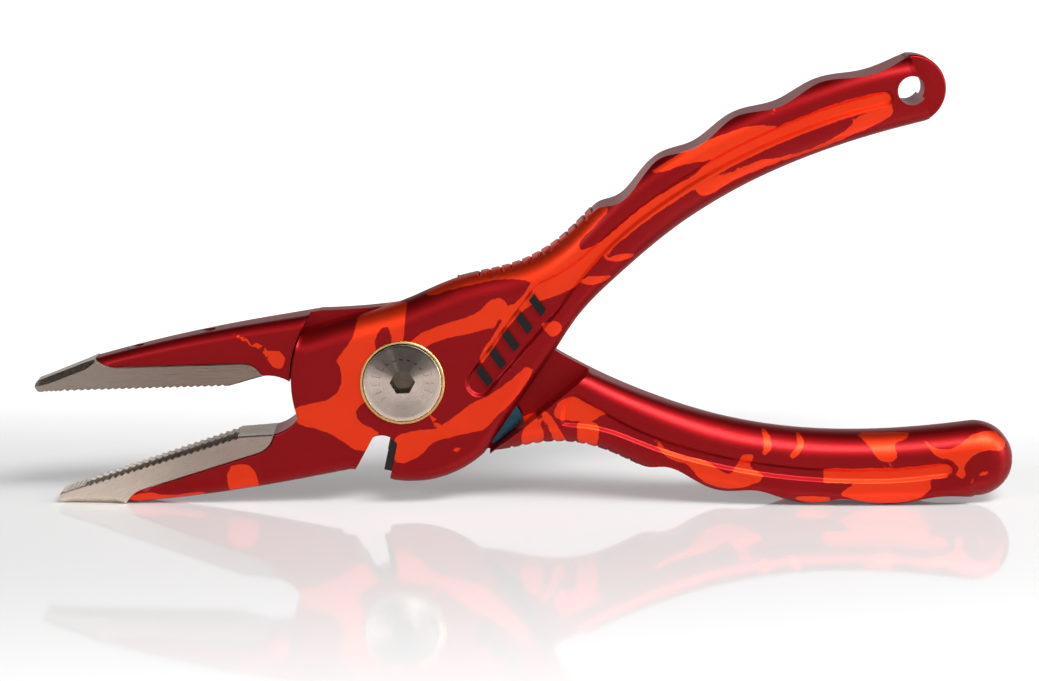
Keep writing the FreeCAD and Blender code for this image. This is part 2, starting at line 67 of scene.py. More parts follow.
# Camera, in metres and degrees below level.
CAMERA_PLACE = (-0.0014, -0.6395, 0.1663)
CAMERA_PITCH = 11.3
LENS_MM = 96.3

# Lever.
HALF = 7.5                  # half of the overall thickness
LAP_FACE = 0.15
WASHER_FLOOR = 0.45
POCKET_FLOOR = 1.35
SEAT_FLOOR = 3.05
SLOT_FLOOR = 3.6
HEAD_RADIUS = 26.05
HEAD_CLEARANCE = 0.4
JAW_TIP_X = -86.3
JAW_TIP_HALF = 3.5
JAW_BACK_HALF = 6.2
GRIP_Z = -0.15
INSERT_DEPTH = 5.4
SEAT_HEEL = (-32.6, -2.3)
EDGE_ANGLE = 52.5
EDGE_OFFSET = 25.6
SHOULDER_OFFSET = 26.45
FLUTE_DEPTH = 0.8
FLUTE_RIM = 0.85
FLUTE_END_X = 128.0
END_X = 142.7
HOLE_CENTRE = (132.4, 27.1)
HOLE_RADIUS = 3.3
TAB_HALF = 3.5
TAB_X = 134.5
TAB_RADIUS = 8.25
CUT_ANGLE = 239.4
SLOT_ANGLE = 160.0          # of the stop pin, at the open stop
SLOT_RADIUS = 18.0
SLOT_HALF = 1.8
NOTCH_ANGLE = 16.0
NOTCH_TOP = 13.4
BLADE_PROUD = 1.8
JIMPING_TEETH = 12
JIMPING_DEPTH = 1.0
JIMPING_HALF = 0.4
JIMPING_FROM_X = 24.9
JIMPING_STEP = 2.47
COLLAR_RADIUS = 9.9
COLLAR_FRONT = 8.0
COLLAR_BACK = 5.6
CUP_FLOOR = 6.2
BARREL_RADIUS = 7.0
WASHER_RADIUS = 11.6
SHANK_RADIUS = 5.0
HEX_ACROSS = 5.2
DISH_DEPTH = 0.75
DISH_BALL = 46.0
TICKS = 20
TICK_DEPTH = 0.35
TEETH_FROM_X = -79.5
TEETH_TO_X = -41.0
TOOTH_PITCH = 1.65
TOOTH_DEPTH = 0.55
INSERT_SCREWS = ((-62.5, -9.35), (-45.5, -12.45))
SCREW_BORE = 2.1
BADGE_MARKS = 5
BADGE_PITCH = 5.2
BADGE_START = (16.75, -5.95)
BADGE_ANGLE = 35.0
BADGE_FRONT = 7.42
SPRING_HALF = 1.1
SPRING_RADIUS = 14.2
SPRING_BAND = 1.6           # half of the spring's width
SPRING_EYE = (22.0, 11.5)
SPRING_GAP = 0.35           # between the spring and the lever walls
PIN_RADIUS = 1.28
BOLT_RADIUS = 9.12
BOLT_FRONT = 8.2
HEAD_BACK = 6.25
HEAD_EDGE = 0.22            # width of the rounded edge

# How far each handle's edges stand beyond the shared drawing: beside the lap, and at the end.
FRONT_BACK, FRONT_INNER, FRONT_FLUTE = (1.0, 1.0), (1.0, 1.7), (0.5, 1.4)
REAR_BACK, REAR_INNER, REAR_FLUTE = (0.0, 0.0), (-0.3, -1.1), (0.0, -0.3)

SCALLOPS = [
    (54.2, 22.2), (55.8, 22.9), (60.0, 22.7), (65.5, 25.0), (73.5, 29.4), (81.0, 29.2),
    (92.5, 33.0), (102.5, 32.2), (113.0, 34.3), (123.5, 32.6), (133.6, 33.4),
]
BACK_OF_HANDLE = [
    (20.0, 18.3), (33.0, 16.7), (45.0, 18.4), (54.5, 22.9), (73.5, 30.0), (93.0, 33.6), (113.0, 34.8),
    (124.0, 34.6), (133.6, 33.6),
]
INNER_EDGE = [
    (43.6, 0.25), (55.6, 6.2), (68.0, 11.1), (80.0, 14.6), (92.0, 16.9), (104.0, 18.05),
    (116.0, 18.3), (128.0, 17.8), (133.5, 17.38),
]
FLUTE_OUTER = [
    (36.7, 12.0), (45.0, 13.2), (56.5, 17.9), (68.6, 22.2), (81.0, 25.4), (93.0, 27.4), (105.0, 28.5),
    (117.0, 28.7), (126.4, 28.0),
]
FLUTE_INNER = [
    (40.0, 3.8), (52.6, 12.2), (66.7, 18.2), (80.0, 21.8), (92.0, 23.9), (104.0, 24.9), (116.0, 25.1),
    (126.2, 24.2),
]
JAW_EDGE = [(-71.8, -7.5), (-59.5, -10.2), (-47.5, -12.4), (-35.6, -14.2), (-23.7, -15.7), (-18.4, -16.4)]

# Camouflage, as the outlines of its orange patches in a lever's own frame.
CAMO_HEAD_SIDE = [
    [(-4.5, 18.5), (-7, 14), (-10.5, 11.5), (-13, 10), (-12.5, 8), (-13, 5), (-15, 2.5),
     (-18.5, 1.5), (-26.5, 2.5), (-26.5, -2), (-21, -5), (-18, -8.5), (-14.5, -13.5), (-8.5, -9.5),
     (-11, -7.5), (-13, -5.5), (-12.5, -2.5), (-5, 0), (-3, 11), (-1.5, 13.2), (1, 14),
     (1.4, 12), (0.5, 9), (3.4, 9), (5, 12.5), (6.5, 16), (8, 20), (1.5, 20.5)],
    [(4.5, 8.5), (8, 9.8), (15, 10), (21.5, 9.8), (25, 11.6), (27.5, 12.2), (29.5, 10),
     (28, 8), (24, 5.6), (18.5, 6), (14, 6.6), (8.5, 6.6), (4, 4)],
    [(10.5, 20.5), (11.5, 16.8), (17.5, 16.8), (27.5, 16), (33, 14.5), (36.5, 13), (33, 10.4),
     (28.5, 8.2), (23.9, 3.9), (19, 0.4), (18.6, -2), (20.6, -0.9), (26.1, 3.7), (33.3, 7.8),
     (41.4, 7.9), (45.8, 8.6), (52.2, 12.9), (66.3, 18.4), (81.3, 22.3), (91.7, 24.4), (104.6, 25.6),
     (114.5, 26), (123.9, 25.6), (126.4, 25.3), (127.8, 27.2), (126.2, 29.2), (115.5, 30),
     (104, 29.3), (97.1, 28.8), (89.8, 27.8), (85.5, 27.1), (81.8, 25.8), (79.7, 24.5), (67.1, 22),
     (54.7, 16.6), (49, 16.1), (49, 18), (55, 21), (59, 23.5), (55, 25), (40, 20.5),
     (28, 20)],
    [(3.5, -13), (7.5, -12), (13, -10), (20, -9), (25.5, -7), (28.5, -5.4),
     (30.2, -7), (24, -12), (18, -14.8), (14.5, -16.8),
     (11, -16.4), (6.5, -16), (2, -15.6), (-1.5, -18), (-8.2, -18.6), (-7, -13),
     (-5, -11.4), (0.5, -12)],
    [(3.2, -8.6), (4.4, -9.5), (5, -12.5), (3.8, -12.5)],
    [(34.6, 3.3), (38.8, 2.6), (39.6, 0.6), (38.2, -1.1), (36, -0.9)],
    [(5.5, -19), (9, -17.8), (9.2, -18.8), (6, -20)],
    [(69.1, 28.1), (79, 30.7), (84, 31.2), (93.8, 31.4), (97.7, 30.6), (101.4, 29.1), (97.1, 28.4),
     (89.8, 27.4), (85.5, 26.9), (82.6, 26.8), (78.7, 27.7), (73, 27.5)],
    [(78.3, 21.1), (80.3, 21.8), (85.3, 22.3), (95.3, 23.1), (96.5, 22.4), (105.8, 21.5), (113.2, 22.7),
     (117, 23.9), (118.9, 25.5), (127.3, 26), (127.5, 24.2), (124.9, 22.6), (112.8, 21.2),
     (105.1, 20.9), (96.2, 21), (87.8, 20.6), (82.2, 19), (79.5, 19.2)],
    [(53.4, 12.4), (56.4, 12.9), (61.2, 11.4), (59.8, 10.6), (55.8, 11.2)],
    [(46.2, 9.8), (49.8, 9.9), (54.8, 8), (51.7, 7.3), (47.8, 8)],
    [(-46.5, -7.5), (-44, -6), (-41, -7), (-39.5, -9), (-40.5, -14.5), (-47.5, -13.5)],
    [(-71, -6.2), (-68, -6), (-65, -6.6), (-62.5, -8.2), (-59, -9.2), (-52.5, -10.4),
     (-54.5, -12.4), (-66, -10.4)],
    [(100.6, 32), (102, 32.8), (101.6, 33.4), (100.2, 32.6)],
]
CAMO_BACK_SIDE = [
    [(27, 13.5), (28.5, 11), (30.5, 9), (31.6, 10.5), (32.5, 13.5), (32, 18), (27.5, 18.5)],
    [(31.5, 7.8), (34, 8.4), (35.2, 11), (37.2, 14.5), (38, 18), (35.5, 18), (33.5, 12)],
    [(40, 10.6), (45.5, 11.5), (45.2, 15.5), (44, 19), (40.5, 18.5)],
    [(34.6, 9.8), (36, 6), (39.5, 4.6), (43.5, 7.4), (48, 9.5), (43.5, 10.5), (39, 11.2)],
    [(57.4, 16.1), (59.2, 16.2), (60.4, 18.4), (65.1, 20.4), (69.9, 21.5), (73.5, 23.9), (75.6, 25.2),
     (77.2, 23.1), (78.4, 20.6), (79.6, 20.2), (81.7, 20.6), (80.5, 22.6), (80.2, 23.8), (83.7, 25.5),
     (83.1, 26.9), (77.6, 28.7), (73.4, 28.5), (69.8, 27.1), (67.5, 24.6), (66, 22.3), (61.5, 20.6),
     (59.8, 19)],
    [(83.1, 14.3), (85.2, 16.1), (85.8, 18.6), (84.5, 20.5), (82.8, 20.6), (84.1, 18.2)],
    [(91.5, 16), (93.1, 17.3), (93.3, 19.2), (90.8, 21.8), (89, 21.8), (90.9, 19.7), (91.8, 18.5)],
    [(104.2, 16.4), (118.7, 17), (117.7, 18.6), (114.1, 19.4), (115, 22.2), (113.4, 23.8),
     (110.4, 23.1), (109, 20.4), (106.9, 18.2)],
    [(120.4, 18), (123.7, 20.9), (127.9, 21.1), (133.4, 17.6), (138.2, 17.5), (140.9, 20.7),
     (139.4, 22), (135.2, 21.4), (131.8, 23.1), (130.3, 25.2), (130.9, 27.8), (133.4, 30.5),
     (130.3, 28.2), (128.2, 27.5), (129.2, 24.9), (127.3, 23.3), (124.3, 23.1)],
    [(133.2, 26.8), (134.6, 25.9), (136.3, 26.5), (135.7, 27.5), (133.8, 27.8)],
    [(100.6, 31.1), (103.6, 29.1), (105.5, 27.6), (122.7, 28.1), (123.1, 29.8), (120.5, 32.5),
     (115.7, 33.9), (109, 33.7)],
    [(89.7, 31), (96.3, 31.2), (99.4, 31.5), (98.7, 33.3), (93.3, 33.1)],
    [(97.6, 24.4), (97.6, 25), (97.6, 27.2), (97.6, 27.8), (98.4, 27.9), (105, 28.3), (117, 28.5),
     (126.4, 27.8), (128, 26), (126.2, 24.2), (116, 25), (104, 24.7), (98.4, 24.4)],
    [(-39.8, -13.1), (-35.7, -11.3), (-31.4, -9.3), (-30.5, -8.3), (-28, -8.2), (-26.9, -6.2),
     (-27.8, -4.1), (-29.7, -4), (-31.2, -5.8), (-31.6, -7.7), (-35.4, -9.8)],
    [(-17.5, -17.5), (-12, -17), (-8, -14.5), (-2, -15), (-4, -19.5), (-12, -20.5)],
]


# ---- plan drawing

def polar(radius, degrees):
    turn = math.radians(degrees)
    return radius * math.cos(turn), radius * math.sin(turn)


def line(*points, step=2.5):
    """Straight runs through points, divided so that the mesh stays even."""
    made = [points[0]]
    for a, b in zip(points, points[1:]):
        count = max(1, round(math.dist(a, b) / step))
        for index in range(1, count + 1):
            share = index / count
            made.append((a[0] + (b[0] - a[0]) * share, a[1] + (b[1] - a[1]) * share))
    return np.array(made)


def divided(loop, step=0.8):
    """A closed outline with its long sides divided."""
    return line(*[tuple(p) for p in loop], tuple(loop[0]), step=step)[:-1]


def spline(points, step=0.9):
    """A natural cubic curve through points."""
    fixed = np.array(points, float)
    place = np.concatenate([[0], np.cumsum(np.hypot(*np.diff(fixed, axis=0).T))])
    gap = np.diff(place)
    count = len(fixed)
    system = np.eye(count)
    right = np.zeros((count, 2))
    for k in range(1, count - 1):
        system[k, k - 1:k + 2] = gap[k - 1], 2 * (gap[k - 1] + gap[k]), gap[k]
        right[k] = 6 * ((fixed[k + 1] - fixed[k]) / gap[k] - (fixed[k] - fixed[k - 1]) / gap[k - 1])
    bend = np.linalg.solve(system, right)
    along = np.linspace(0, place[-1], max(3, int(place[-1] / step) + 1))
    k = np.clip(np.searchsorted(place, along) - 1, 0, count - 2)
    b = ((along - place[k]) / gap[k])[:, None]
    a = 1 - b
    curve = a * fixed[k] + b * fixed[k + 1]
    return curve + ((a ** 3 - a) * bend[k] + (b ** 3 - b) * bend[k + 1]) * (gap[k] ** 2)[:, None] / 6


def arc(a, b, c, step=0.7):
    """The circular arc from a through b to c."""
    ax, az, bx, bz, cx, cz = *a, *b, *c
    d = 2 * (ax * (bz - cz) + bx * (cz - az) + cx * (az - bz))
    a2, b2, c2 = ax * ax + az * az, bx * bx + bz * bz, cx * cx + cz * cz
    centre = np.array([
        (a2 * (bz - cz) + b2 * (cz - az) + c2 * (az - bz)) / d,
        (a2 * (cx - bx) + b2 * (ax - cx) + c2 * (bx - ax)) / d,
    ])
    turns = [math.atan2(p[1] - centre[1], p[0] - centre[0]) for p in (a, b, c)]
    middle = (turns[1] - turns[0]) % math.tau
    whole = (turns[2] - turns[0]) % math.tau
    if middle > whole:
        whole -= math.tau
    radius = math.dist(a, centre)
    count = max(3, int(abs(whole) * radius / step) + 1)
    angles = turns[0] + np.linspace(0, whole, count)
    return centre + radius * np.stack([np.cos(angles), np.sin(angles)], 1)


def circle(radius, centre=(0.0, 0.0), count=96):
    angles = np.linspace(0, math.tau, count, endpoint=False)
    return np.array(centre) + radius * np.stack([np.cos(angles), np.sin(angles)], 1)


def moved(points, beyond):
    """An edge of a handle, moved by more and more from the lap to the handle's end."""
    near, far = beyond
    return [(x, z + float(np.interp(x, [20.0, 45.0, 135.0], [0.0, near, far]))) for x, z in points]


def chain(*runs):
    """One closed outline from runs that follow on from each other."""
    joined = np.concatenate(runs)
    keep = np.hypot(*(joined - np.roll(joined, 1, 0)).T) > 0.02
    return joined[keep]


def inside(points, loop):
    """Which points lie inside a closed outline."""
    x, z = points[:, 0][:, None], points[:, 1][:, None]
    ax, az = loop[:, 0], loop[:, 1]
    bx, bz = np.roll(ax, -1), np.roll(az, -1)
    crosses = (az > z) != (bz > z)
    rise = np.where(bz == az, 1e-12, bz - az)
    return (crosses & (x < (bx - ax) * (z - az) / rise + ax)).sum(1) % 2 == 1


def distances(points, starts, ends):
    """Distance from each point to each segment, and how far along it the nearest place is."""
    run = ends - starts
    length = np.maximum((run ** 2).sum(1), 1e-12)
    offset = points[:, None] - starts[None]
    share = np.clip((offset * run[None]).sum(2) / length, 0, 1)
    return np.hypot(*np.moveaxis(offset - share[..., None] * run[None], 2, 0)), share


def nearest(points, loop):
    """Distance from each point to a closed outline."""
    return distances(points, loop, np.roll(loop, -1, 0))[0].min(1)


def softened(loop, rounds=3):
    """A closed outline with its corners cut, and cut again."""
    for _ in range(rounds):
        after = np.roll(loop, -1, 0)
        loop = np.stack([loop * 0.8 + after * 0.2, loop * 0.2 + after * 0.8], 1).reshape(-1, 2)
    return loop


def orange_distance(points, patches, shift=(0.0, 0.0)):
    """Distance outside the nearest orange patch, negative inside it."""
    moved_points = points - shift
    found = np.full(len(points), 99.0)
    for patch in patches:
        loop = softened(np.array(patch))
        away = nearest(moved_points, loop)
        found = np.minimum(found, np.where(inside(moved_points, loop), -away, away))
    return found


def shrunk(loop, depth):
    """A closed outline moved inwards, by one depth or one for each point."""
    before, after = np.roll(loop, 1, 0), np.roll(loop, -1, 0)
    along = after - before
    along /= np.maximum(np.hypot(*along.T), 1e-9)[:, None]
    area = np.sum(loop[:, 0] * after[:, 1] - after[:, 0] * loop[:, 1])
    normal = np.stack([-along[:, 1], along[:, 0]], 1) * np.sign(area)
    return loop + normal * np.broadcast_to(depth, len(loop))[:, None]


# ---- solids from a plan

def solid(name, lines, region_of, heights, dots=()):
    """A solid drawn in plan. lines are the plan's edges and creases as (points, closed).
    region_of gives each place's region, -1 outside. heights gives {region: (front, back)}."""
    points, edges = [], []
    for run, closed in lines:
        first = len(points)
        points += [Vector(p) for p in run]
        edges += [(k, k + 1) for k in range(first, len(points) - 1)]
        if closed:
            edges.append((len(points) - 1, first))
    points += [Vector(p) for p in dots]
    plan, _, faces, _, _, _ = delaunay_2d_cdt(points, edges, [], 0, 1e-4)
    plan = np.array([p[:] for p in plan])
    faces = np.array([f for f in faces if len(f) == 3])
    regions = region_of(plan[faces].mean(1))
    faces, regions = faces[regions >= 0], regions[regions >= 0]
    levels = {}
    for region, (front, back) in heights(plan).items():
        levels[region] = np.round(np.stack([np.broadcast_to(front, len(plan)),
                                            np.broadcast_to(back, len(plan))], 1), 4)
    columns = [set() for _ in plan]
    sides = {}
    for face, region in zip(faces, regions):
        for k in range(3):
            a, b = int(face[k]), int(face[(k + 1) % 3])
            columns[a].update(levels[region][a])
            sides.setdefault((min(a, b), max(a, b)), []).append(region)

    mesh = bmesh.new()
    made = {}

    def corner(index, height):
        key = (index, float(height))
        if key not in made:
            made[key] = mesh.verts.new((plan[index, 0] * MM, height * MM, plan[index, 1] * MM))
        return made[key]

    def wall(a, b, low, high):
        """The upright strip over one plan edge, between two heights at each end."""
        run = []
        for index, end in ((a, 0), (b, 1)):
            bottom, top = sorted((low[end], high[end]))
            climb = sorted(h for h in columns[index] if bottom <= h <= top)
            run += [corner(index, h) for h in (climb if end == 0 else climb[::-1])]
        if len(set(run)) > 2:
            mesh.faces.new(run)

    for face, region in zip(faces, regions):
        for side in (0, 1):
            mesh.faces.new([corner(k, levels[region][k, side]) for k in face])
    for (a, b), found in sides.items():
        if len(found) == 1:
            level = levels[found[0]]
            wall(a, b, (level[a, 0], level[b, 0]), (level[a, 1], level[b, 1]))
        elif found[0] != found[1]:
            one, two = levels[found[0]], levels[found[1]]
            for side in (0, 1):
                wall(a, b, (one[a, side], one[b, side]), (two[a, side], two[b, side]))
    bmesh.ops.recalc_face_normals(mesh, faces=mesh.faces)
    return finished(name, mesh)


def finished(name, mesh, sharp=32.0):
    """An object from a bmesh, smooth except at its real edges."""
    data = bpy.data.meshes.new(name)
    mesh.to_mesh(data)
    mesh.free()
    made = bpy.data.objects.new(name, data)
    bpy.context.scene.collection.objects.link(made)
    return smoothed(made, sharp)


def smoothed(obj, sharp=32.0):
    """Shades a piece smooth, apart from edges sharper than an angle in degrees."""
    mesh = bmesh.new()
    mesh.from_mesh(obj.data)
    for face in mesh.faces:
        face.smooth = True
    for edge in mesh.edges:
        edge.smooth = edge.calc_face_angle(0.0) < math.radians(sharp)
    mesh.to_mesh(obj.data)
    mesh.free()
    obj.modifiers.new("even_normals", "WEIGHTED_NORMAL").keep_sharp = True
    return obj


def drop(points, edges):
    """How far the rounded edges lower the face at each point. edges is (starts, ends, radii)."""
    starts, ends, radii = edges
    away, share = distances(points, starts, ends)
    radius = radii[:, 0] + (radii[:, 1] - radii[:, 0]) * share
    inward = np.clip(radius - away, 0, None)
    return (radius - np.sqrt(np.maximum(radius ** 2 - inward ** 2, 0))).max(1)


# ---- levers

def edge_point(along):
    """A point on the lap's inner edge, a distance along it from its foot."""
    normal_x, normal_z = polar(EDGE_OFFSET, -EDGE_ANGLE)
    step_x, step_z = polar(along, 90.0 - EDGE_ANGLE)
    return normal_x + step_x, normal_z + step_z


def along_cut(radius, across):
    """A point by its distance along the cutting line, and across it."""
    base_x, base_z = polar(radius, CUT_ANGLE)
    side_x, side_z = polar(across, CUT_ANGLE + 90.0)
    return base_x + side_x, base_z + side_z


def seat():
    """The curved edge where the jaw meets its steel insert."""
    bottom = GRIP_Z - INSERT_DEPTH
    return [
        spline([(-71.8, -7.5), (-70.0, -6.3), (-67.0, bottom)]),
        line((-67.0, bottom), (-37.5, bottom)),
        arc((-37.5, bottom), (-34.0, bottom + 1.4), SEAT_HEEL),
    ]


def milled(top, scallops):
    """The back edge of a lever with its thumb jimping and finger scallops."""
    place = np.concatenate([[0], np.cumsum(np.hypot(*np.diff(top, axis=0).T))])

    def at(s):
        return np.array([np.interp(s, place, top[:, 0]), np.interp(s, place, top[:, 1])])

    centres = []
    for tooth in range(JIMPING_TEETH):
        centres.append(np.interp(JIMPING_FROM_X + JIMPING_STEP * tooth, top[:, 0], place))
    plain = [s for s, p in zip(place, top) if p[0] < 54.0 and min(abs(s - c) for c in centres) > 0.6]
    made = [(s, at(s)) for s in plain]
    for c in centres:
        along = at(c + 0.2) - at(c - 0.2)
        along /= np.hypot(*along)
        bottom = at(c) - np.array([-along[1], along[0]]) * JIMPING_DEPTH
        made.append((c, bottom))
        made += [(c + side, at(c + side)) for side in (-JIMPING_HALF, JIMPING_HALF)]
    edge = np.array([p for _, p in sorted(made, key=lambda item: item[0])])
    start = scallops[0]
    return np.concatenate([edge, [(start[0] - 0.05, start[1] + 0.55)], spline(scallops)])


def rounded(points, first, last=None, both=True):
    """A run of the outline with its round-over radius at either end, in front and mostly at the back."""
    radii = (first, first if last is None else last)
    return points, radii, radii if both else (0.0, 0.0)


def lever_runs(has_lobe):
    """The unmilled outline as (points, front round-over, back round-over), each a pair of radii."""
    throat = polar(HEAD_RADIUS, 181.0)
    corner = polar(HEAD_RADIUS, 136.2)
    back = moved(BACK_OF_HANDLE, FRONT_BACK if has_lobe else REAR_BACK)
    front_inner = moved(INNER_EDGE, FRONT_INNER if has_lobe else REAR_INNER)
    foot = edge_point(-4.0 if has_lobe else 1.0)
    jaw_end = JAW_EDGE[-1]
    top = spline([corner, (-6.0, 17.6), (6.0, 17.3)] + back)
    lap_end = int(np.argmax(top[:, 0] > 20.0))
    thumb_end = int(np.argmax(top[:, 0] > 55.0))
    inner = spline([edge_point(27.0)] + front_inner)[::-1]
    middle = int(np.argmax(inner[:, 0] < 75.0))
    runs = [rounded(run, 0.3) for run in seat()]
    runs += [
        rounded(arc(SEAT_HEEL, (-29.2, -2.0), throat), 0.6),
        rounded(arc(throat, polar(HEAD_RADIUS, 158.0), corner), 0.6, both=False),
        rounded(top[:lap_end + 1], 5.4, 6.0, both=False),
        rounded(top[lap_end:thumb_end + 1], 6.0, 5.0),
        rounded(top[thumb_end:], 5.0, 4.4),
    ]
    if has_lobe:
        end_round = 3.7
        centre = np.array(HOLE_CENTRE)
        low_end = (TAB_X, HOLE_CENTRE[1] - math.sqrt(TAB_RADIUS ** 2 - (TAB_X - HOLE_CENTRE[0]) ** 2))
        high_end = (TAB_X, back[-1][1])
        runs.append(rounded(line(back[-1], high_end), end_round))
        runs.append(rounded(arc(high_end, tuple(centre + (TAB_RADIUS, 0)), low_end), 0.5))
        runs.append(rounded(line(low_end, front_inner[-1]), end_round))
    else:
        end_round = 6.0
        end = (END_X, (back[-1][1] + front_inner[-1][1]) / 2)
        runs.append(rounded(arc(back[-1], end, front_inner[-1]), end_round))
    runs += [
        rounded(inner[:middle + 1], end_round, 6.4),
        rounded(inner[middle:], 6.4, 3.6),
        rounded(line(edge_point(27.0), foot, step=1.2), 3.6, both=False),
    ]
    if has_lobe:
        lobe_end = (-10.6, -21.6)
        runs.append(rounded(arc(foot, (2.5, -25.0), lobe_end, 0.9), 3.6, 3.4, both=False))
        runs.append(rounded(line(lobe_end, jaw_end, step=1.2), 3.4, 3.2, both=False))
    else:
        runs.append(rounded(arc(foot, (2.0, -17.4), jaw_end, 0.9), 3.4, 3.2, both=False))
    runs.append(rounded(spline(JAW_EDGE)[::-1], 3.2, 2.4))
    return runs


def edge_segments(runs, side):
    """Segments of the rounded edges on one side, 1 for the front and 2 for the back."""
    starts, ends, radii = [], [], []
    for run in runs:
        first, last = run[side]
        if first + last == 0:
            continue
        points = run[0]
        ramp = np.linspace(first, last, len(points))
        starts.append(points[:-1])
        ends.append(points[1:])
        radii.append(np.stack([ramp[:-1], ramp[1:]], 1))
    return np.concatenate(starts), np.concatenate(ends), np.concatenate(radii)


def edge_rings(runs):
    """Points that follow the rounded edges inwards, close together where the edge is steep."""
    rings = []
    for share in 1.0 - np.cos(np.radians(np.arange(10, 91, 10))):
        for run, front, back in runs:
            first, last = max(front[0], back[0]), max(front[1], back[1])
            if first + last == 0:
                continue
            depth = np.linspace(first, last, len(run)) * share
            along = np.gradient(run, axis=0)
            along /= np.maximum(np.hypot(*along.T), 1e-9)[:, None]
            inward = np.stack([along[:, 1], -along[:, 0]], 1)
            rings.append(run + inward * depth[:, None])
    return np.concatenate(rings)


def flute(starts_at_head, beyond):
    """The edge of the flute in one side of the handle."""
    outer = moved(FLUTE_OUTER, beyond)
    inner = moved(FLUTE_INNER, beyond)
    end = arc(outer[-1], (FLUTE_END_X, (outer[-1][1] + inner[-1][1]) / 2), inner[-1], 0.4)
    if starts_at_head:
        top, bottom = (14.8, -3.3), (18.7, -8.8)
        start = [line(inner[0], bottom), arc(bottom, (14.2, -7.8), top, 0.4), line(top, outer[0])]
    else:
        start = [arc(inner[0], (36.6, 9.0), outer[0], 0.4)]
    return chain(spline(outer), end, spline(inner)[::-1], *start)


def ring_sector(inner, outer, start, end):
    """A stretch of a ring about the pivot."""
    count = max(4, int(abs(end - start) / 4))
    angles = np.linspace(start, end, count)
    far = [polar(outer, angle) for angle in angles]
    near = [polar(inner, angle) for angle in angles[::-1]]
    return np.array(far + near)


def spring_room():
    """Pocket edges in a lap face, for the spring."""
    start, eye = np.array(polar(SPRING_RADIUS, 37.8)), np.array(SPRING_EYE)
    run = eye - start
    side = np.array([-run[1], run[0]]) / np.hypot(*run) * 2.0
    leg = np.array([start + side, eye + side, eye - side, start - side])
    return [ring_sector(12.1, 19.2, -64.0, 52.0), circle(5.8, SPRING_EYE, 36), leg,
            ring_sector(18.0, 31.0, -60.0, -13.0)]


def notch(has_lobe):
    """The line-cutting notch in the lever's own half of the lap."""
    side = 1 if has_lobe else -1
    far = CUT_ANGLE - side * NOTCH_ANGLE
    blade_side = along_cut(NOTCH_TOP + 1.3, side * BLADE_PROUD)
    far_side = polar(NOTCH_TOP + 1.5, far)
    crown = (np.array(blade_side) + far_side) / 2 - np.array(polar(1.2, CUT_ANGLE))
    mouth = [along_cut(32.0, side * BLADE_PROUD), polar(32.0, far)]
    return np.concatenate([mouth, arc(far_side, tuple(crown), blade_side, 0.3)]) * (1, side)


def blade_seat(has_lobe):
    """The seat of the blade, beside the cutting line."""
    side = 1 if has_lobe else -1
    inner, outer = 13.55, 22.45 if has_lobe else 19.85
    across = side * 5.65
    corners = [(inner, 0), (outer, 0), (outer, across), (inner, across)]
    return np.array([along_cut(*corner) for corner in corners]) * (1, side)


def jaw_half(x, side):
    """Half thickness of the jaw at x: side -1 in front and 1 at the back."""
    if side > 0:
        return np.interp(x, [JAW_TIP_X - 1, -18.0], [JAW_TIP_HALF, JAW_BACK_HALF])
    blur = [np.interp(x + shift, [JAW_TIP_X - 1, -22.0], [JAW_TIP_HALF, HALF])
            for shift in (-6.0, -3.0, 0.0, 3.0, 6.0)]
    return np.mean(blur, axis=0)


LAP, HANDLE, JAW, TAB, POCKET, SLOT, SEAT, WASHER_SEAT, COLLAR_SEAT = range(9)


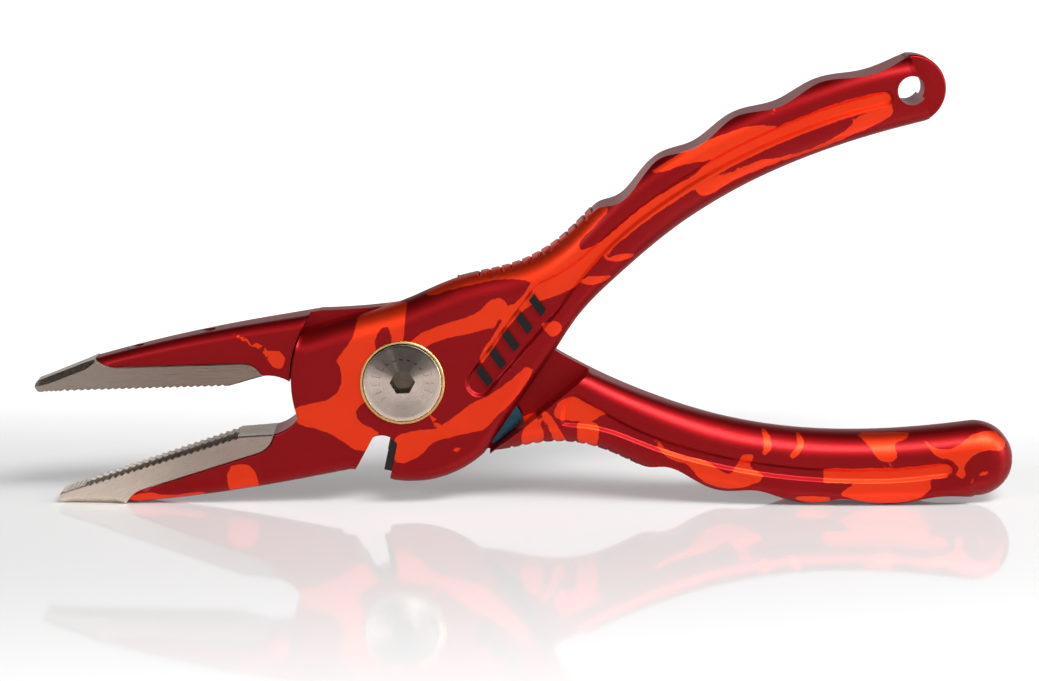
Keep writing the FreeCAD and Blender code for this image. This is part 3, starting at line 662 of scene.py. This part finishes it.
def lever(name, has_lobe):
    """One aluminium lever."""
    runs = lever_runs(has_lobe)
    plain = [run[0] for run in runs]
    top = np.concatenate([plain[5], plain[6][1:], plain[7][1:]])
    scallops = moved(SCALLOPS, FRONT_BACK if has_lobe else REAR_BACK)
    outline = chain(*plain[:5], milled(top, scallops), *plain[8:])
    beyond = FRONT_FLUTE if has_lobe else REAR_FLUTE
    flutes = {-1: flute(True, beyond), 1: flute(False, beyond)}
    cutter_notch, cutter_seat = notch(has_lobe), blade_seat(has_lobe)
    pockets = spring_room()
    slot_ends = (SLOT_ANGLE - OPENING, SLOT_ANGLE)
    slot = [ring_sector(SLOT_RADIUS - SLOT_HALF, SLOT_RADIUS + SLOT_HALF, *slot_ends)]
    slot += [circle(SLOT_HALF, polar(SLOT_RADIUS, angle), 24) for angle in slot_ends[::-1]]
    hole = circle(HOLE_RADIUS, HOLE_CENTRE, 60)
    normal = np.array(polar(1.0, EDGE_ANGLE))
    foot = normal * SHOULDER_OFFSET
    up = np.array([-normal[1], normal[0]])
    shoulder = line(tuple(foot - up * 42), tuple(foot + up * 8), step=1.2)
    rest = [polar(HEAD_RADIUS + HEAD_CLEARANCE, angle) for angle in np.arange(176.0, 236.0, 3.0)]
    lines = [(outline, True), (divided(cutter_notch), True), (divided(cutter_seat), True)]
    lines += [(circle(radius), True) for radius in (BARREL_RADIUS, COLLAR_RADIUS, WASHER_RADIUS)]
    lines += [(shoulder, False), (np.array(rest), False)]
    lines += [(divided(pocket), True) for pocket in pockets]
    for loop in flutes.values():
        lines += [(shrunk(loop, depth), True) for depth in np.linspace(0.0, FLUTE_RIM, 4)]
    if has_lobe:
        lines += [(hole, True), (line((TAB_X, 12.0), (TAB_X, 38.0), step=0.8), False)]
        lines += [(loop, True) for loop in slot]
    fill_x, fill_z = np.meshgrid(np.arange(-70.0, 140.0, 1.6), np.arange(-24.0, 34.0, 1.6))
    fill = np.stack([fill_x.ravel(), fill_z.ravel()], 1)
    flat = drop(fill, edge_segments(runs, 1)) + drop(fill, edge_segments(runs, 2)) < 0.001
    dots = np.concatenate([edge_rings(runs), fill[flat & (nearest(fill, outline) > 1.5)]])
    dots = dots[inside(dots, outline)]
    dots = dots[nearest(dots, outline) > 0.12]
    for loop, _ in lines[1:]:
        dots = dots[distances(dots, loop[:-1], loop[1:])[0].min(1) > 0.12]

    def region_of(points):
        away = np.hypot(*points.T)
        found = np.full(len(points), LAP)
        for pocket in pockets:
            found[inside(points, pocket)] = POCKET
        found[inside(points, cutter_seat)] = SEAT
        found[away < WASHER_RADIUS] = WASHER_SEAT
        found[away < COLLAR_RADIUS] = COLLAR_SEAT
        found[points @ normal > SHOULDER_OFFSET] = HANDLE
        found[(away > HEAD_RADIUS + HEAD_CLEARANCE) & (points[:, 0] < -12.0)] = JAW
        empty = ~inside(points, outline) | inside(points, cutter_notch) | (away < BARREL_RADIUS)
        if has_lobe:
            for loop in slot:
                found[inside(points, loop) & (found == LAP)] = SLOT
            found[points[:, 0] > TAB_X] = TAB
            empty |= inside(points, hole)
        found[empty] = -1
        return found

    def flute_depth(points, loop):
        deep = np.where(inside(points, loop), nearest(points, loop), 0.0)
        share = np.clip(deep / FLUTE_RIM, 0, 1)
        return FLUTE_DEPTH * share * share * (3 - 2 * share)

    def heights(plan):
        low, high = drop(plan, edge_segments(runs, 1)), drop(plan, edge_segments(runs, 2))
        front = -jaw_half(plan[:, 0], -1) + low + flute_depth(plan, flutes[-1])
        back = HALF - high - flute_depth(plan, flutes[1])
        tab = 0.5 * np.clip(1 - nearest(plan, outline) / 0.5, 0, 1) ** 2
        return {
            LAP: (front, -LAP_FACE), HANDLE: (front, back), TAB: (tab - TAB_HALF, TAB_HALF - tab),
            JAW: (front, jaw_half(plan[:, 0], 1) - high), POCKET: (front, -POCKET_FLOOR),
            SLOT: (front, -SLOT_FLOOR), SEAT: (front, -SEAT_FLOOR),
            WASHER_SEAT: (front, -WASHER_FLOOR), COLLAR_SEAT: (-COLLAR_BACK, -WASHER_FLOOR),
        }

    return bored(solid(name, lines, region_of, heights, dots))


def paint(body, has_lobe):
    """Stores the camouflage at each corner: one pattern in front and another at the back."""
    where = np.array([corner.co for corner in body.data.vertices]) / MM
    plan = where[:, [0, 2]]
    shift = (0.0, 0.0) if has_lobe else (-9.0, 2.5)
    head_side = orange_distance(plan, CAMO_HEAD_SIDE, shift)
    back_side = orange_distance(plan, CAMO_BACK_SIDE)
    share = np.clip((where[:, 1] + 2.0) / 4.0, 0, 1)
    pattern = body.data.attributes.new("camo", "FLOAT", "POINT")
    pattern.data.foreach_set("value", (head_side * (1 - share) + back_side * share).astype(np.float32))


def place(obj, front):
    """Turns a piece from its lever's own frame to its place at the open stop."""
    half = OPENING / 2 if front else -OPENING / 2
    turned = Matrix.Rotation(-math.radians(SEAT_TILT + half), 4, "Y")
    if not front:
        turned = turned @ Matrix.Rotation(math.pi, 4, "X")
    own = obj.data.attributes.new("own", "FLOAT_VECTOR", "POINT")
    own.data.foreach_set("vector", [value / MM for corner in obj.data.vertices for value in corner.co])
    obj.data.transform(Matrix.Translation(PIVOT) @ turned)
    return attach(obj, "front_side" if front else "rear_side")


def bored(lever_body):
    """Cuts the recesses over the insert screws, up from the back of the jaw."""
    mesh = bmesh.new()
    for x, back in INSERT_SCREWS:
        cone = bmesh.ops.create_cone(mesh, cap_ends=True, segments=40, depth=6 * MM,
                                     radius1=SCREW_BORE * MM, radius2=SCREW_BORE * MM)
        bmesh.ops.translate(mesh, verts=cone["verts"], vec=(x * MM, 0, (back - 3) * MM))
    drill = finished("drill", mesh)
    lever_body.modifiers.clear()
    bore = lever_body.modifiers.new("bore", "BOOLEAN")
    bore.operation = "DIFFERENCE"
    bore.solver = "EXACT"
    bore.object = drill
    result = lever_body.evaluated_get(bpy.context.evaluated_depsgraph_get())
    cut = bpy.data.meshes.new_from_object(result)
    lever_body.modifiers.clear()
    lever_body.data = cut
    bpy.data.objects.remove(drill)
    return smoothed(lever_body)


# ---- steel, brass and marks

def insert(name):
    """A steel jaw insert, as cross sections from its tip to its heel."""
    nose = arc((JAW_TIP_X + 0.5, -2.6), (JAW_TIP_X + 0.1, GRIP_Z - 0.9), (JAW_TIP_X + 0.9, GRIP_Z), 0.12)
    first = int(np.argmin(nose[:, 0]))
    upper = np.concatenate([nose[first:], [(TEETH_TO_X, GRIP_Z), SEAT_HEEL]])
    lower = np.concatenate([nose[:first + 1][::-1]] + seat())
    nose_places = np.linspace(nose[first, 0] + 0.004, -84.5, 14)
    places = np.concatenate([nose_places, np.arange(-84.4, SEAT_HEEL[0], 0.15)])
    across = np.sin(np.linspace(-math.pi / 2, math.pi / 2, 25))
    mesh = bmesh.new()
    rows = []
    for x in places:
        top, bottom = np.interp(x, *upper.T), np.interp(x, *lower.T)
        front, back = -jaw_half(np.array(x), -1), jaw_half(np.array(x), 1)
        tall = top - bottom
        bevel = min(0.3, tall * 0.25)
        facet = min(np.interp(x, (-74.0, -70.5), (1.5, 0.3)), tall * 0.45)
        row = []
        for share in across:
            y = (front + back) / 2 + share * ((back - front) / 2 - bevel)
            row.append((y, top - tooth_depth(x, y)))
        row = [(front, top - bevel - tooth_depth(x, front) * 0.6)] + row
        row += [(back, top - bevel - tooth_depth(x, back) * 0.6)]
        row += [(back, bottom + facet), (back - facet, bottom)]
        row += [(front + facet, bottom), (front, bottom + facet)]
        rows.append([mesh.verts.new((x * MM, y * MM, z * MM)) for y, z in row])
    for one, two in zip(rows, rows[1:]):
        for k in range(len(one)):
            after = (k + 1) % len(one)
            mesh.faces.new((one[k], one[after], two[after], two[k]))
    mesh.faces.new(rows[0])
    mesh.faces.new(rows[-1][::-1])
    bmesh.ops.recalc_face_normals(mesh, faces=mesh.faces)
    return finished(name, mesh, 24.0)


def tooth_depth(x, y):
    """Depth of the gripping face below its crests: chevrons, and a finer row at the nose."""
    if TEETH_FROM_X < x < TEETH_TO_X:
        phase = (x + 0.55 * abs(y)) / TOOTH_PITCH
        return TOOTH_DEPTH * abs(2 * (phase % 1.0) - 1)
    if JAW_TIP_X + 2.0 < x <= TEETH_FROM_X:
        return 0.22 * (0.5 - 0.5 * math.cos(x * math.tau / 1.1))
    return 0.0


def pivot_head(name, socket_floor, shank_end):
    """A dished, turned head with a hex socket and a ring of plain ticks."""
    hexagon = np.array([polar(HEX_ACROSS / math.sqrt(3), 60 * k) for k in range(6)])
    ticks = []
    for k in range(TICKS):
        turn = 360 / TICKS * k
        corners = [(5.3, -0.42), (7.3, -0.42), (7.3, 0.42), (5.3, 0.42)]
        base = np.array([polar(1.0, turn), polar(1.0, turn + 90)])
        ticks.append(np.array(corners) @ base)
    rings = (3.6, 4.3, SHANK_RADIUS, 5.5, 7.35, 7.8, 8.27, BOLT_RADIUS - HEAD_EDGE, BOLT_RADIUS - 0.07,
             BOLT_RADIUS)
    lines = [(circle(radius), True) for radius in rings]
    lines += [(loop, True) for loop in [hexagon] + ticks]
    flange, shank, socket, tick = range(4)

    def region_of(points):
        away = np.hypot(*points.T)
        found = np.where(away < SHANK_RADIUS, shank, flange)
        for loop in ticks:
            found[inside(points, loop)] = tick
        found[inside(points, hexagon)] = socket
        found[away > BOLT_RADIUS] = -1
        return found

    def heights(plan):
        away = np.hypot(*plan.T)
        sag = DISH_BALL - np.sqrt(DISH_BALL ** 2 - np.minimum(away, 20) ** 2)
        rim = 0.2 * np.clip((away - BOLT_RADIUS + HEAD_EDGE) / HEAD_EDGE, 0, 1) ** 2
        front = -BOLT_FRONT + np.clip(DISH_DEPTH - sag, 0, None) + rim
        return {flange: (front, -HEAD_BACK), shank: (front, shank_end), socket: (-socket_floor, shank_end),
                tick: (front + TICK_DEPTH, -HEAD_BACK)}

    return solid(name, lines, region_of, heights)


def collar(name):
    """A brass cup round a pivot head, and the bush below it."""
    bore, cup_bore = SHANK_RADIUS + 0.04, BOLT_RADIUS + 0.08
    rings = (bore, BARREL_RADIUS, cup_bore, BOLT_RADIUS + 0.22, COLLAR_RADIUS - 0.2, COLLAR_RADIUS - 0.07,
             COLLAR_RADIUS)
    lines = [(circle(radius), True) for radius in rings]
    bush, floor, cup = range(3)

    def region_of(points):
        away = np.hypot(*points.T)
        found = np.where(away < BARREL_RADIUS, bush, floor)
        found[away > cup_bore] = cup
        found[(away > COLLAR_RADIUS) | (away < bore)] = -1
        return found

    def heights(plan):
        away = np.hypot(*plan.T)
        edge = np.minimum(COLLAR_RADIUS - away, away - cup_bore)
        chamfer = 0.2 * np.clip(1 - edge / 0.2, 0, 1) ** 2
        return {
            bush: (-CUP_FLOOR, -0.2), floor: (-CUP_FLOOR, -COLLAR_BACK),
            cup: (chamfer - COLLAR_FRONT, -COLLAR_BACK),
        }

    return solid(name, lines, region_of, heights)


def badge(name):
    """Slanted bars standing on the floor of the flute, over the lap."""
    run = math.radians(BADGE_ANGLE)
    turn = np.array([(math.cos(run), math.sin(run)), (-math.sin(run), math.cos(run))])
    corners = np.array([(-1.7, -2.2), (0.3, -2.2), (1.7, 2.2), (-0.3, 2.2)])
    bars = []
    for k in range(BADGE_MARKS):
        centre = np.array(BADGE_START) + (2.2 + k * BADGE_PITCH) * turn[0]
        bars.append(divided(corners @ turn + centre))
    lines = [(bar, True) for bar in bars]

    def region_of(points):
        found = np.full(len(points), -1)
        for bar in bars:
            found[inside(points, bar)] = 0
        return found

    bars_body = solid(name, lines, region_of, lambda plan: {0: (-BADGE_FRONT, FLUTE_DEPTH - HALF)})
    return bevelled(bars_body, 0.22, 3)


def spring(name):
    """The flat return spring at the open stop, drawn about the line between the levers."""
    turn = math.radians(OPENING / 2)
    loops = [ring_sector(SPRING_RADIUS - SPRING_BAND, SPRING_RADIUS + SPRING_BAND, -46.0, 46.0)]
    wall_offset = SHOULDER_OFFSET - SPRING_GAP
    walls, eyes = [], []
    for side in (1, -1):
        eye = np.array([SPRING_EYE[0] * math.cos(turn) - SPRING_EYE[1] * math.sin(turn),
                        side * (SPRING_EYE[0] * math.sin(turn) + SPRING_EYE[1] * math.cos(turn))])
        start = np.array(polar(SPRING_RADIUS, 46.0 * side))
        run = (eye - start) / math.dist(eye, start)
        off = np.array([-run[1], run[0]]) * SPRING_BAND
        loops += [circle(5.5, eye, 48), np.array([start + off, eye + off, eye - off, start - off]),
                  circle(SPRING_BAND, start, 24)]
        normal = np.array(polar(1.0, side * (EDGE_ANGLE + OPENING / 2)))
        foot, up = normal * wall_offset, np.array([-normal[1], normal[0]])
        walls.append((normal, line(tuple(foot - up * 18), tuple(foot + up * 18), step=6)))
        eyes.append(eye)
    pins = [circle(PIN_RADIUS, eye, 24) for eye in eyes]
    lines = [(loop, True) for loop in loops + pins] + [(run, False) for _, run in walls]

    def region_of(points):
        found = np.full(len(points), -1)
        for loop in loops:
            found[inside(points, loop)] = 0
        for normal, _ in walls:
            found[points @ normal > wall_offset] = -1
        for pin in pins:
            found[inside(points, pin)] = -1
        return found

    band = solid(name, lines, region_of, lambda plan: {0: (-SPRING_HALF, SPRING_HALF)})
    return band, eyes


def bevelled(obj, width, segments=2):
    """Takes the edge off a small piece."""
    soft = obj.modifiers.new("bevel", "BEVEL")
    soft.width = width * MM
    soft.segments = segments
    soft.limit_method = "ANGLE"
    soft.angle_limit = math.radians(40)
    obj.modifiers.move(len(obj.modifiers) - 1, 0)
    return obj


# ---- assembly

def half_turned(obj):
    """Turns a piece's own mesh half a turn about X, to the other side of the pliers."""
    obj.data.transform(Matrix.Rotation(math.pi, 4, "X"))
    return obj


def fit(obj, front, slot, material, *nodes):
    """Puts a piece in place of its CAD nodes, with its finish."""
    place(obj, front)
    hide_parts(*nodes)
    obj.data.materials.clear()
    obj.data.materials.append(material)
    return obj


def build_spring(material):
    piece, eyes = spring("flat_spring")
    bevelled(piece, 0.3)
    turned = Matrix.Rotation(-math.radians(SEAT_TILT), 4, "Y")
    piece.matrix_world = Matrix.Translation(PIVOT) @ turned
    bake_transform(piece)
    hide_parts("return_spring")
    piece.data.materials.append(material)


# ---- finishes

def node(tree, kind, inputs=(), **settings):
    """Adds a shader node; an input is a number, a colour or another node's output."""
    made = tree.nodes.new("ShaderNode" + kind)
    for key, value in settings.items():
        setattr(made, key, value)
    for socket, value in dict(inputs).items():
        if isinstance(value, bpy.types.NodeSocket):
            tree.links.new(value, made.inputs[socket])
        else:
            made.inputs[socket].default_value = value
    return made


def finish_material(name, **constants):
    """A material with a Principled shader, its tree, and places on the piece in millimetres."""
    material = bpy.data.materials.new(name)
    material.use_nodes = True
    tree = material.node_tree
    shader = tree.nodes["Principled BSDF"]
    for key, value in constants.items():
        shader.inputs[key.replace("_", " ")].default_value = value
    place_node = node(tree, "TexCoord")
    scaled = node(tree, "VectorMath", {0: place_node.outputs["Object"], "Scale": 1 / MM}, operation="SCALE")
    return material, tree, shader, scaled.outputs[0]


def drive(shader, **values):
    """Links other nodes' outputs to a shader's inputs."""
    for key, value in values.items():
        shader.id_data.links.new(value, shader.inputs[key.replace("_", " ")])


def math_node(tree, operation, a, b=0.0, c=0.0, clamp=False):
    made = node(tree, "Math", {0: a, 1: b, 2: c}, operation=operation)
    made.use_clamp = clamp
    return made.outputs[0]


def noise(tree, place_mm, scale, detail=3.0, roughness=0.55):
    made = node(tree, "TexNoise",
                {"Vector": place_mm, "Scale": scale, "Detail": detail, "Roughness": roughness})
    return made.outputs[0]


def stretched(tree, place_mm, factors):
    return node(tree, "VectorMath", {0: place_mm, 1: factors}, operation="MULTIPLY").outputs[0]


def bump(tree, shader, height, strength, distance_mm):
    made = node(tree, "Bump", {"Height": height, "Strength": strength, "Distance": distance_mm * MM})
    drive(shader, Normal=made.outputs[0])


def ramp(tree, value, low, high, out_low=0.0, out_high=1.0):
    made = node(tree, "MapRange",
                {"Value": value, "From Min": low, "From Max": high, "To Min": out_low, "To Max": out_high})
    made.interpolation_type = "SMOOTHSTEP"
    return made.outputs[0]


def mix(tree, share, a, b):
    made = node(tree, "Mix", data_type="RGBA")
    for index, value in ((0, share), (6, a), (7, b)):
        if isinstance(value, bpy.types.NodeSocket):
            tree.links.new(value, made.inputs[index])
        else:
            made.inputs[index].default_value = value
    return made.outputs[2]


def camo_material():
    """Dark red anodising with orange patches under a satin clear coat."""
    material, tree, shader, where = finish_material(
        "camo_anodised", Metallic=0.94, Coat_Weight=0.12, Coat_Roughness=0.28)
    pattern = node(tree, "Attribute", attribute_name="camo").outputs["Fac"]
    ragged = math_node(tree, "MULTIPLY_ADD", noise(tree, where, 0.5, 3.0), 0.7, -0.35)
    share = ramp(tree, math_node(tree, "ADD", pattern, ragged), -0.10, 0.10)
    cloud = noise(tree, where, 0.05, 2.0)
    orange = mix(tree, cloud, (0.82, 0.036, 0.008, 1), (0.94, 0.058, 0.012, 1))
    dark = mix(tree, cloud, (0.26, 0.003, 0.005, 1), (0.33, 0.006, 0.009, 1))
    specks = ramp(tree, noise(tree, where, 0.9, 2.0), 0.80, 0.83)
    worn = mix(tree, math_node(tree, "MULTIPLY", specks, edge_wear(tree)), mix(tree, share, orange, dark),
               (0.75, 0.62, 0.55, 1))
    grain = noise(tree, where, 6.0, 4.0, 0.7)
    drive(shader, Base_Color=worn, Roughness=ramp(tree, grain, 0.2, 0.8, 0.42, 0.54))
    bump(tree, shader, grain, 0.05, 0.05)
    return material


def edge_wear(tree):
    """Near 1 along convex edges."""
    bent = node(tree, "Bevel", {"Radius": 0.5 * MM}, samples=4)
    flat = node(tree, "NewGeometry").outputs["Normal"]
    same = node(tree, "VectorMath", {0: bent.outputs[0], 1: flat}, operation="DOT_PRODUCT")
    return ramp(tree, same.outputs["Value"], 0.99, 0.93)


def own_place(tree):
    """Places in the lever's own frame, in millimetres."""
    return node(tree, "Attribute", attribute_name="own").outputs["Vector"]


def brushed_material(name, tip, heel):
    """Stainless steel brushed along the jaw, its colour running from one tone at its tip to another at its
    heel: painted light, brighter towards the tip.
    """
    material, tree, shader, _ = finish_material(name, Metallic=1.0, Anisotropic=0.4)
    own = own_place(tree)
    streaks = noise(tree, stretched(tree, own, (0.12, 2.0, 5.0)), 1.2, 5.0, 0.6)
    along = node(tree, "SeparateXYZ", {0: own}).outputs["X"]
    # Painted highlight: the colour grows brighter towards the tip, along a ragged boundary.
    painted_highlight_wobble = math_node(tree, "MULTIPLY_ADD", noise(tree, own, 0.08, 2.0), 16.0, -8.0)
    share = ramp(tree, math_node(tree, "ADD", along, painted_highlight_wobble), JAW_TIP_X, -45.0)
    painted_highlight_tone = mix(tree, share, (*tip, 1), (*heel, 1))
    streaks_and_painted_highlight = mix(tree, ramp(tree, streaks, 0.3, 0.7, 0.0, 0.35), painted_highlight_tone, (0.45, 0.37, 0.32, 1))
    drive(shader, Base_Color=streaks_and_painted_highlight, Roughness=ramp(tree, streaks, 0.25, 0.75, 0.24, 0.44))
    bump(tree, shader, streaks, 0.12, 0.05)
    return material


def turned_material():
    """Steel turned on a lathe: fine rings about the pivot, which fan out the light. Its colour also holds
    painted reflection, fans that are dark at the top and bright at the bottom, and painted shade in the hex
    socket and on other faces nearer the middle than 6.9 mm.
    """
    material, tree, shader, _ = finish_material("turned_steel", Metallic=1.0, Anisotropic=0.8)
    own = own_place(tree)
    flat = stretched(tree, own, (1.0, 0.0, 1.0))
    away = node(tree, "VectorMath", {0: flat}, operation="LENGTH").outputs["Value"]
    rings = noise(tree, node(tree, "CombineXYZ", {"X": away}).outputs[0], 9.0, 3.0, 0.6)
    # Painted reflection: the colour runs from dark at the top of the head to bright at its bottom, broken
    # into fans.
    ray = node(tree, "VectorMath", {0: flat}, operation="NORMALIZE").outputs[0]
    painted_reflection_fans = math_node(tree, "MULTIPLY_ADD", noise(tree, ray, 1.4, 2.0), 1.6, -0.8)
    upright = node(tree, "SeparateXYZ", {0: ray}).outputs["Z"]
    steel = mix(tree, ramp(tree, math_node(tree, "ADD", upright, painted_reflection_fans), -0.9, 0.1),
                (0.10, 0.085, 0.075, 1), (0.86, 0.70, 0.61, 1))
    # Painted shade: the hex socket and other faces nearer the middle than 6.9 mm are given a dark colour.
    deep = math_node(tree, "ABSOLUTE", node(tree, "SeparateXYZ", {0: own}).outputs["Y"])
    steel = mix(tree, ramp(tree, deep, 6.9, 7.3), (0.16, 0.12, 0.09, 1), steel)
    grooves_and_painted_light = mix(tree, ramp(tree, rings, 0.35, 0.65, 0.0, 0.25), steel, (0.12, 0.10, 0.09, 1))
    drive(shader, Base_Color=grooves_and_painted_light, Roughness=ramp(tree, rings, 0.3, 0.7, 0.18, 0.32),
          Tangent=node(tree, "Tangent", direction_type="RADIAL", axis="Y").outputs[0])
    bump(tree, shader, rings, 0.10, 0.03)
    return material


def metal_material(name, low, high, rough, grain_scale=2.5, coat=0.0):
    """A plain metal with cloudy colour and fine grain."""
    material, tree, shader, where = finish_material(
        name, Metallic=1.0, Coat_Weight=coat, Coat_Roughness=0.08)
    cloud = noise(tree, where, 0.35, 3.0)
    grain = noise(tree, where, grain_scale, 4.0, 0.65)
    drive(shader, Base_Color=mix(tree, cloud, (*low, 1), (*high, 1)),
          Roughness=ramp(tree, grain, 0.25, 0.75, rough, rough + 0.14))
    bump(tree, shader, grain, 0.08, 0.04)
    return material


camo = camo_material()
# The two inserts are one steel: the upper one gets darker colours as painted shade, the lower one a bright
# tip as painted highlight.
lower_steel_painted_highlight = brushed_material("brushed_steel_lower_painted_highlight", (0.95, 0.80, 0.68), (0.46, 0.36, 0.30))
upper_steel_painted_shade = brushed_material("brushed_steel_upper_painted_shade", (0.40, 0.33, 0.28), (0.30, 0.21, 0.17))
turned_steel = turned_material()
brass = metal_material("brass", (0.72, 0.46, 0.16), (0.90, 0.62, 0.26), 0.20)
carbide = metal_material("carbide", (0.035, 0.033, 0.032), (0.07, 0.066, 0.062), 0.34, 4.0)
black_chrome = metal_material("black_chrome", (0.008, 0.009, 0.009), (0.020, 0.021, 0.022), 0.12, 1.5, 0.3)
fastener = metal_material("dark_fasteners", (0.05, 0.05, 0.05), (0.12, 0.115, 0.11), 0.30)
blued = metal_material("blued_spring_steel", (0.006, 0.045, 0.075), (0.012, 0.10, 0.15), 0.18, 2.0, 0.4)

for is_front, lever_node in ((True, "front_lever"), (False, "rear_lever")):
    body = lever(lever_node + "_body", is_front)
    paint(body, is_front)
    fit(body, is_front, "camo_anodised", camo, lever_node)
fit(insert("lower_jaw_steel"), True, "brushed_steel", lower_steel_painted_highlight, "lower_jaw_insert")
fit(insert("upper_jaw_steel"), False, "brushed_steel", upper_steel_painted_shade, "upper_jaw_insert")
bolt_head = half_turned(pivot_head("pivot_bolt_head", 4.65, 1.4))
fit(bolt_head, False, "turned_steel", turned_steel, "pivot_bolt")
fit(pivot_head("pivot_nut_head", 6.3, -1.6), False, "turned_steel", turned_steel, "pivot_nut")
fit(collar("front_collar_ring"), True, "brass", brass, "front_collar")
fit(collar("rear_collar_ring"), False, "brass", brass, "rear_collar")
fit(badge("front_badge_bars"), True, "black_chrome", black_chrome, "front_badge")
fit(badge("rear_badge_bars"), False, "black_chrome", black_chrome, "rear_badge")
build_spring(blued)

CARRIED_OVER = {
    carbide: ("front_cutter", "rear_cutter"),
    brass: ("thrust_washer",),
    fastener: ("front_cutter_screw", "rear_cutter_screw", "front_spring_pin", "rear_spring_pin", "stop_pin",
               "lower_insert_screws", "upper_insert_screws"),
}
for material, names in CARRIED_OVER.items():
    for name in names:
        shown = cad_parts[name]
        shown.data.materials.clear()
        shown.data.materials.append(material)


# ---- floor, light and camera

def build_floor():
    """A glossy white floor that is brighter away from the pliers."""
    bpy.ops.mesh.primitive_plane_add(size=8.0)
    floor = bpy.context.object
    floor.name = "floor"
    material, tree, shader, where = finish_material("white_floor", Roughness=0.06)
    shader.inputs["Base Color"].default_value = (0.68, 0.68, 0.68, 1)
    shader.inputs["Emission Color"].default_value = (1, 1, 1, 1)
    across = node(tree, "SeparateXYZ", {0: where}).outputs["Y"]
    behind = ramp(tree, across, 20.0, 200.0, 0.06, 0.60)
    before = ramp(tree, across, -40.0, -220.0, 0.0, 0.30)
    glow = math_node(tree, "ADD", behind, before)
    seen = node(tree, "LightPath").outputs["Is Camera Ray"]
    drive(shader, Emission_Strength=math_node(tree, "MULTIPLY", glow, seen))
    floor.data.materials.append(material)


def softbox(name, place_m, aim_m, wide, tall, power):
    """A rectangular soft light that faces a point."""
    data = bpy.data.lights.new(name, "AREA")
    data.shape = "RECTANGLE"
    data.size, data.size_y = wide, tall
    data.energy = power
    lamp = bpy.data.objects.new(name, data)
    lamp.location = place_m
    lamp.rotation_euler = (Vector(aim_m) - Vector(place_m)).to_track_quat("-Z", "Y").to_euler()
    bpy.context.scene.collection.objects.link(lamp)


def build_world():
    """White to the camera; round the pliers, a bright backdrop, a dark ceiling and a grey room."""
    world = bpy.data.worlds.new("studio")
    world.use_nodes = True
    tree = world.node_tree
    tree.nodes.clear()
    direction = node(tree, "TexCoord").outputs["Generated"]
    parts = node(tree, "SeparateXYZ", {0: direction})
    backdrop = ramp(tree, parts.outputs["Y"], -0.1, 0.5, 0.42, 1.0)
    ceiling = ramp(tree, parts.outputs["Z"], 0.18, 0.45, 1.0, 0.02)
    room = node(tree, "Background", {"Strength": math_node(tree, "MULTIPLY", backdrop, ceiling)})
    paper = node(tree, "Background", {"Strength": 1.0})
    paper.inputs["Color"].default_value = room.inputs["Color"].default_value = (1, 1, 1, 1)
    seen = node(tree, "LightPath").outputs["Is Camera Ray"]
    both = node(tree, "MixShader", {0: seen, 1: room.outputs[0], 2: paper.outputs[0]})
    node(tree, "OutputWorld", {0: both.outputs[0]})
    bpy.context.scene.world = world


def build_camera():
    data = bpy.data.cameras.new("camera")
    data.lens = LENS_MM
    data.sensor_width = 36.0
    data.clip_end = 20.0
    camera = bpy.data.objects.new("camera", data)
    camera.location = CAMERA_PLACE
    camera.rotation_euler = (math.radians(90.0 - CAMERA_PITCH), 0.0, 0.0)
    bpy.context.scene.collection.objects.link(camera)
    bpy.context.scene.camera = camera


build_floor()
build_world()
build_camera()
softbox("key", (0.42, -0.62, 0.86), (0.03, 0, 0.04), 0.80, 0.34, 16.0)
softbox("left_fill", (-0.60, -0.75, 0.42), (-0.03, 0, 0.04), 0.30, 0.12, 2.0)
softbox("right_side", (0.75, -0.20, 0.30), (0.03, 0, 0.04), 0.25, 0.40, 3.0)
bpy.context.scene.view_settings.view_transform = "Standard"
